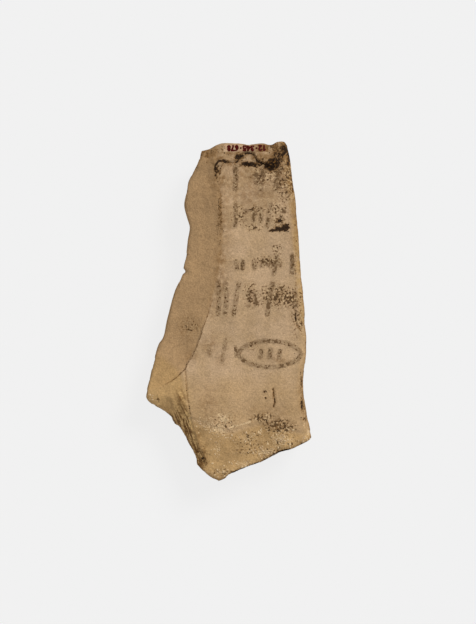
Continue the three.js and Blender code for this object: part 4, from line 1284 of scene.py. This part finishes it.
class OSTRACON_OT_stage(bpy.types.Operator):
    """Sets the floor, the soft light and the camera above the written face"""
    bl_idname = "ostracon.stage"
    bl_label = "Stage"

    def execute(self, context):
        stage = context.scene.ostracon_stage
        backdrop = linear(stage.backdrop)
        ways = ((-1, -1), (1, -1), (1, 1), (-1, 1))
        corners = [(x * FLOOR_HALF, y * FLOOR_HALF, FLOOR_LEVEL) for x, y in ways]
        floor = new_piece("floor", corners, [(0, 1, 2, 3)], floor_material(backdrop), smooth=False)

        # Key and surroundings together light a level surface so that a colour renders as written
        sun = bpy.data.lights.new("key", "SUN")
        sun.energy = math.pi * (1 - stage.ambient) / math.sin(stage.key_angle)
        sun.angle = SUN_SPREAD
        key = bpy.data.objects.new("key", sun)
        flat = math.cos(stage.key_angle)
        right, ahead = flat * math.sin(stage.key_turn), flat * math.cos(stage.key_turn)
        towards = Vector((right, ahead, math.sin(stage.key_angle)))
        key.rotation_euler = towards.to_track_quat("Z", "Y").to_euler()
        context.collection.objects.link(key)

        world = bpy.data.worlds.new("studio")
        world.use_nodes = True
        tree = world.node_tree
        tree.nodes.clear()
        seen = seen_straight(tree)
        white = {"Color": (1, 1, 1, 1), "Strength": stage.ambient}
        around_it = add(tree, "ShaderNodeBackground", white).outputs[0]
        behind_it = add(tree, "ShaderNodeBackground", {"Color": backdrop, "Strength": 1.0}).outputs[0]
        mixed = add(tree, "ShaderNodeMixShader", {0: seen, 1: around_it, 2: behind_it}).outputs[0]
        add(tree, "ShaderNodeOutputWorld", {"Surface": mixed})
        context.scene.world = world

        camera = bpy.data.cameras.new("camera")
        camera.lens = LENS
        camera.sensor_width = SENSOR
        camera.clip_end = FARTHEST
        above = bpy.data.objects.new("camera", camera)
        above.location = Vector(FRAME_MIDDLE) + Vector((0, 0, FRAME_HEIGHT * LENS / SENSOR))
        context.collection.objects.link(above)
        context.scene.camera = above
        context.scene.view_settings.view_transform = "Standard"
        return {"FINISHED"}


def seen_straight(tree):
    """One for what the camera sees, also by way of a gloss or through a clear piece, and nought for light."""
    path = add(tree, "ShaderNodeLightPath").outputs
    either = calculate(tree, "ADD", path["Is Camera Ray"], path["Is Glossy Ray"])
    return calculate(tree, "ADD", either, path["Is Transmission Ray"], clamp=True)


def floor_material(backdrop):
    """Matt card. The camera sees it as the pale backdrop, with a faint soft shadow left on it."""
    material, tree, shader, _ = new_material("matt_card")
    shader.inputs["Base Color"].default_value = backdrop
    shader.inputs["Roughness"].default_value = 0.95
    shader.inputs["Specular IOR Level"].default_value = 0
    share = calculate(tree, "MULTIPLY", seen_straight(tree), 0.92)
    glow = add(tree, "ShaderNodeEmission", {"Color": backdrop, "Strength": 1.0}).outputs[0]
    mixed = add(tree, "ShaderNodeMixShader", {0: share, 1: shader.outputs[0], 2: glow}).outputs[0]
    tree.links.new(mixed, tree.nodes["Material Output"].inputs["Surface"])
    return material


class OSTRACON_OT_stone(bpy.types.Operator):
    """Builds the struck stone with its scars, splinters and grain in place of its solid"""
    bl_idname = "ostracon.stone"
    bl_label = "Stone"

    def execute(self, context):
        flake, colours, _ = settings(context.scene)
        settle_piece(build_stone(flake, limestone_material(colours)), [NODE])
        return {"FINISHED"}


class OSTRACON_OT_ink(bpy.types.Operator):
    """Lays what is left of the ink film on the rows of plain brush marks"""
    bl_idname = "ostracon.ink"
    bl_label = "Ink"

    def execute(self, context):
        flake, colours, marks = settings(context.scene)
        surface = surface_of(built_stone())
        material = film_material("lamp_black_ink", colours.ink_film, colours.ink, 1.2, 0.9)
        for seed, (name, strokes, pen, strength) in enumerate(ink_rows(flake)):

            def left_of_ink(x, y, strokes=strokes, pen=pen, strength=strength, seed=seed):
                inside = pen_field(strokes, pen * 0.7, x, y)
                ragged = 0.5 * fractal(x, y, 0, 0.9, 3, 120 + seed)
                worn = fractal(x, y, 0, 3.2, 3, 140 + seed) + 0.9 * fractal(x, y, 0, 0.8, 2, 160 + seed)
                return np.minimum(inside + ragged, 0.9 * worn - 0.68 + 0.45 * strength)

            film = build_film(name, flake, surface, left_of_ink, around(strokes, pen), marks.film_cell / MM,
                              marks.film_thickness / MM, material)
            settle_piece(film)
        return {"FINISHED"}


class OSTRACON_OT_number(bpy.types.Operator):
    """Paints plain counting figures, upside down, on a lacquer ground at the head"""
    bl_idname = "ostracon.number"
    bl_label = "Number"

    def execute(self, context):
        flake, colours, marks = settings(context.scene)
        surface = surface_of(built_stone())
        height = marks.figure_height / MM
        pitch = 0.815 * height
        middle = flake.place(NUMBER_SHARE)
        strokes = []
        for place, figure in enumerate(FIGURES):
            across = middle[0] + pitch * (len(FIGURES) / 2 - place)
            foot = np.array([across, middle[1] + height / 2])
            strokes += figure_strokes(FIGURE_SHARES[figure], foot, height, turned=True)
        half = np.array([pitch * len(FIGURES) / 2 + 1.2, height / 2 + 0.5])

        def ground_field(x, y):
            box = np.maximum(np.abs(x - middle[0]) - half[0], np.abs(y - middle[1]) - half[1])
            return 0.3 * fractal(x, y, 0, 1.8, 3, 180) - box

        def figure_field(x, y):
            return pen_field(strokes, marks.figure_pen / MM, x, y) + 0.06 * fractal(x, y, 0, 0.5, 2, 184)

        thickness = marks.film_thickness / MM
        stain = colours.earth_and_shade, middle[0], middle[0] + 0.7 * half[0]
        lacquer = film_material("lacquer_ground", colours.ground, colours.bed, 2.5, 0.6, stain)
        region = middle - half - 0.6, middle + half + 0.6
        ground = build_film("number_ground", flake, surface, ground_field, region, 0.16, thickness, lacquer)
        settle_piece(ground)
        paint = film_material("red_paint", colours.figures, colours.figures, 1.0, 0.55)
        figures = build_film("number_figures", flake, surface, figure_field, around(strokes, 0.6), 0.07,
                             2.4 * thickness, paint)
        settle_piece(figures)
        return {"FINISHED"}


class OSTRACON_OT_deposits(bpy.types.Operator):
    """Adds the black crust under the ledge, its loose grains, and the pale lime grains of the toe"""
    bl_idname = "ostracon.deposits"
    bl_label = "Deposits"

    def execute(self, context):
        flake, colours, marks = settings(context.scene)
        stone = built_stone()
        surface = surface_of(stone)
        black = film_material("black_crust", colours.soot_and_shade, colours.earth_and_shade, 0.8, 0.85, worn=(0.5, 0.72))
        pale = film_material("lime_crust", colours.lime, colours.bed, 1.5, 0.95)

        # The crust sheet fills the strongest deposit patches; in the notch at the foot of the ledge's step it
        # also stands for the notch's shade, as painted shade
        def crust_field(x, y):
            ragged = 0.5 * fractal(x, y, 0, 2.2, 3, 81)
            amount = patches(flake, SOOT_AND_SHADE_PATCH_SHARES, x, y, ragged)
            return amount - 0.85 + 0.6 * fractal(x, y, 0, 0.9, 3, 190)

        low, high = flake.place((0.4, 0.9)), flake.place((0.86, 0.985))
        crust = build_film("black_crust", flake, surface, crust_field, (low, high), marks.film_cell / MM,
                           marks.crust_thickness / MM, black)
        settle_piece(crust)
        tree = grain_tree()
        # Black grains scatter over the deposit zone, painted shade included
        settle_piece(scatter(tree, stone, "black_grains", "grit_and_shade", 2.6, (0.1, 0.26), 0.35, 7, black))
        settle_piece(scatter(tree, stone, "lime_grains", "lime", 1.2, (0.13, 0.48), 0.35, 11, pale))
        bpy.data.node_groups.remove(tree)
        return {"FINISHED"}


class OSTRACON_PT_panel(bpy.types.Panel):
    """Lists the flake's pieces in the order they are built"""
    bl_idname = "OSTRACON_PT_panel"
    bl_label = "Ostracon"
    bl_space_type = "VIEW_3D"
    bl_region_type = "UI"
    bl_category = "Ostracon"

    def draw(self, context):
        for attribute in GROUPS:
            group = getattr(context.scene, attribute)
            box = self.layout.box()
            for name in group.__annotations__:
                box.prop(group, name)
        for operator in OPERATORS:
            self.layout.operator(operator.bl_idname)


GROUPS = {"ostracon_stone": OstraconStone, "ostracon_colours": OstraconColours,
          "ostracon_marks": OstraconMarks, "ostracon_stage": OstraconStage}
OPERATORS = (OSTRACON_OT_stage, OSTRACON_OT_stone, OSTRACON_OT_ink, OSTRACON_OT_number, OSTRACON_OT_deposits)


def register():
    for cls in (*GROUPS.values(), *OPERATORS, OSTRACON_PT_panel):
        bpy.utils.register_class(cls)
    for name, group in GROUPS.items():
        setattr(bpy.types.Scene, name, bpy.props.PointerProperty(type=group))


def unregister():
    for name in GROUPS:
        delattr(bpy.types.Scene, name)
    for cls in (OSTRACON_PT_panel, *reversed(OPERATORS), *reversed(GROUPS.values())):
        bpy.utils.unregister_class(cls)


def main():
    register()
    bpy.ops.ostracon.stage()
    bpy.ops.ostracon.stone()
    bpy.ops.ostracon.ink()
    bpy.ops.ostracon.number()
    bpy.ops.ostracon.deposits()


if __name__ == "__main__":
    main()
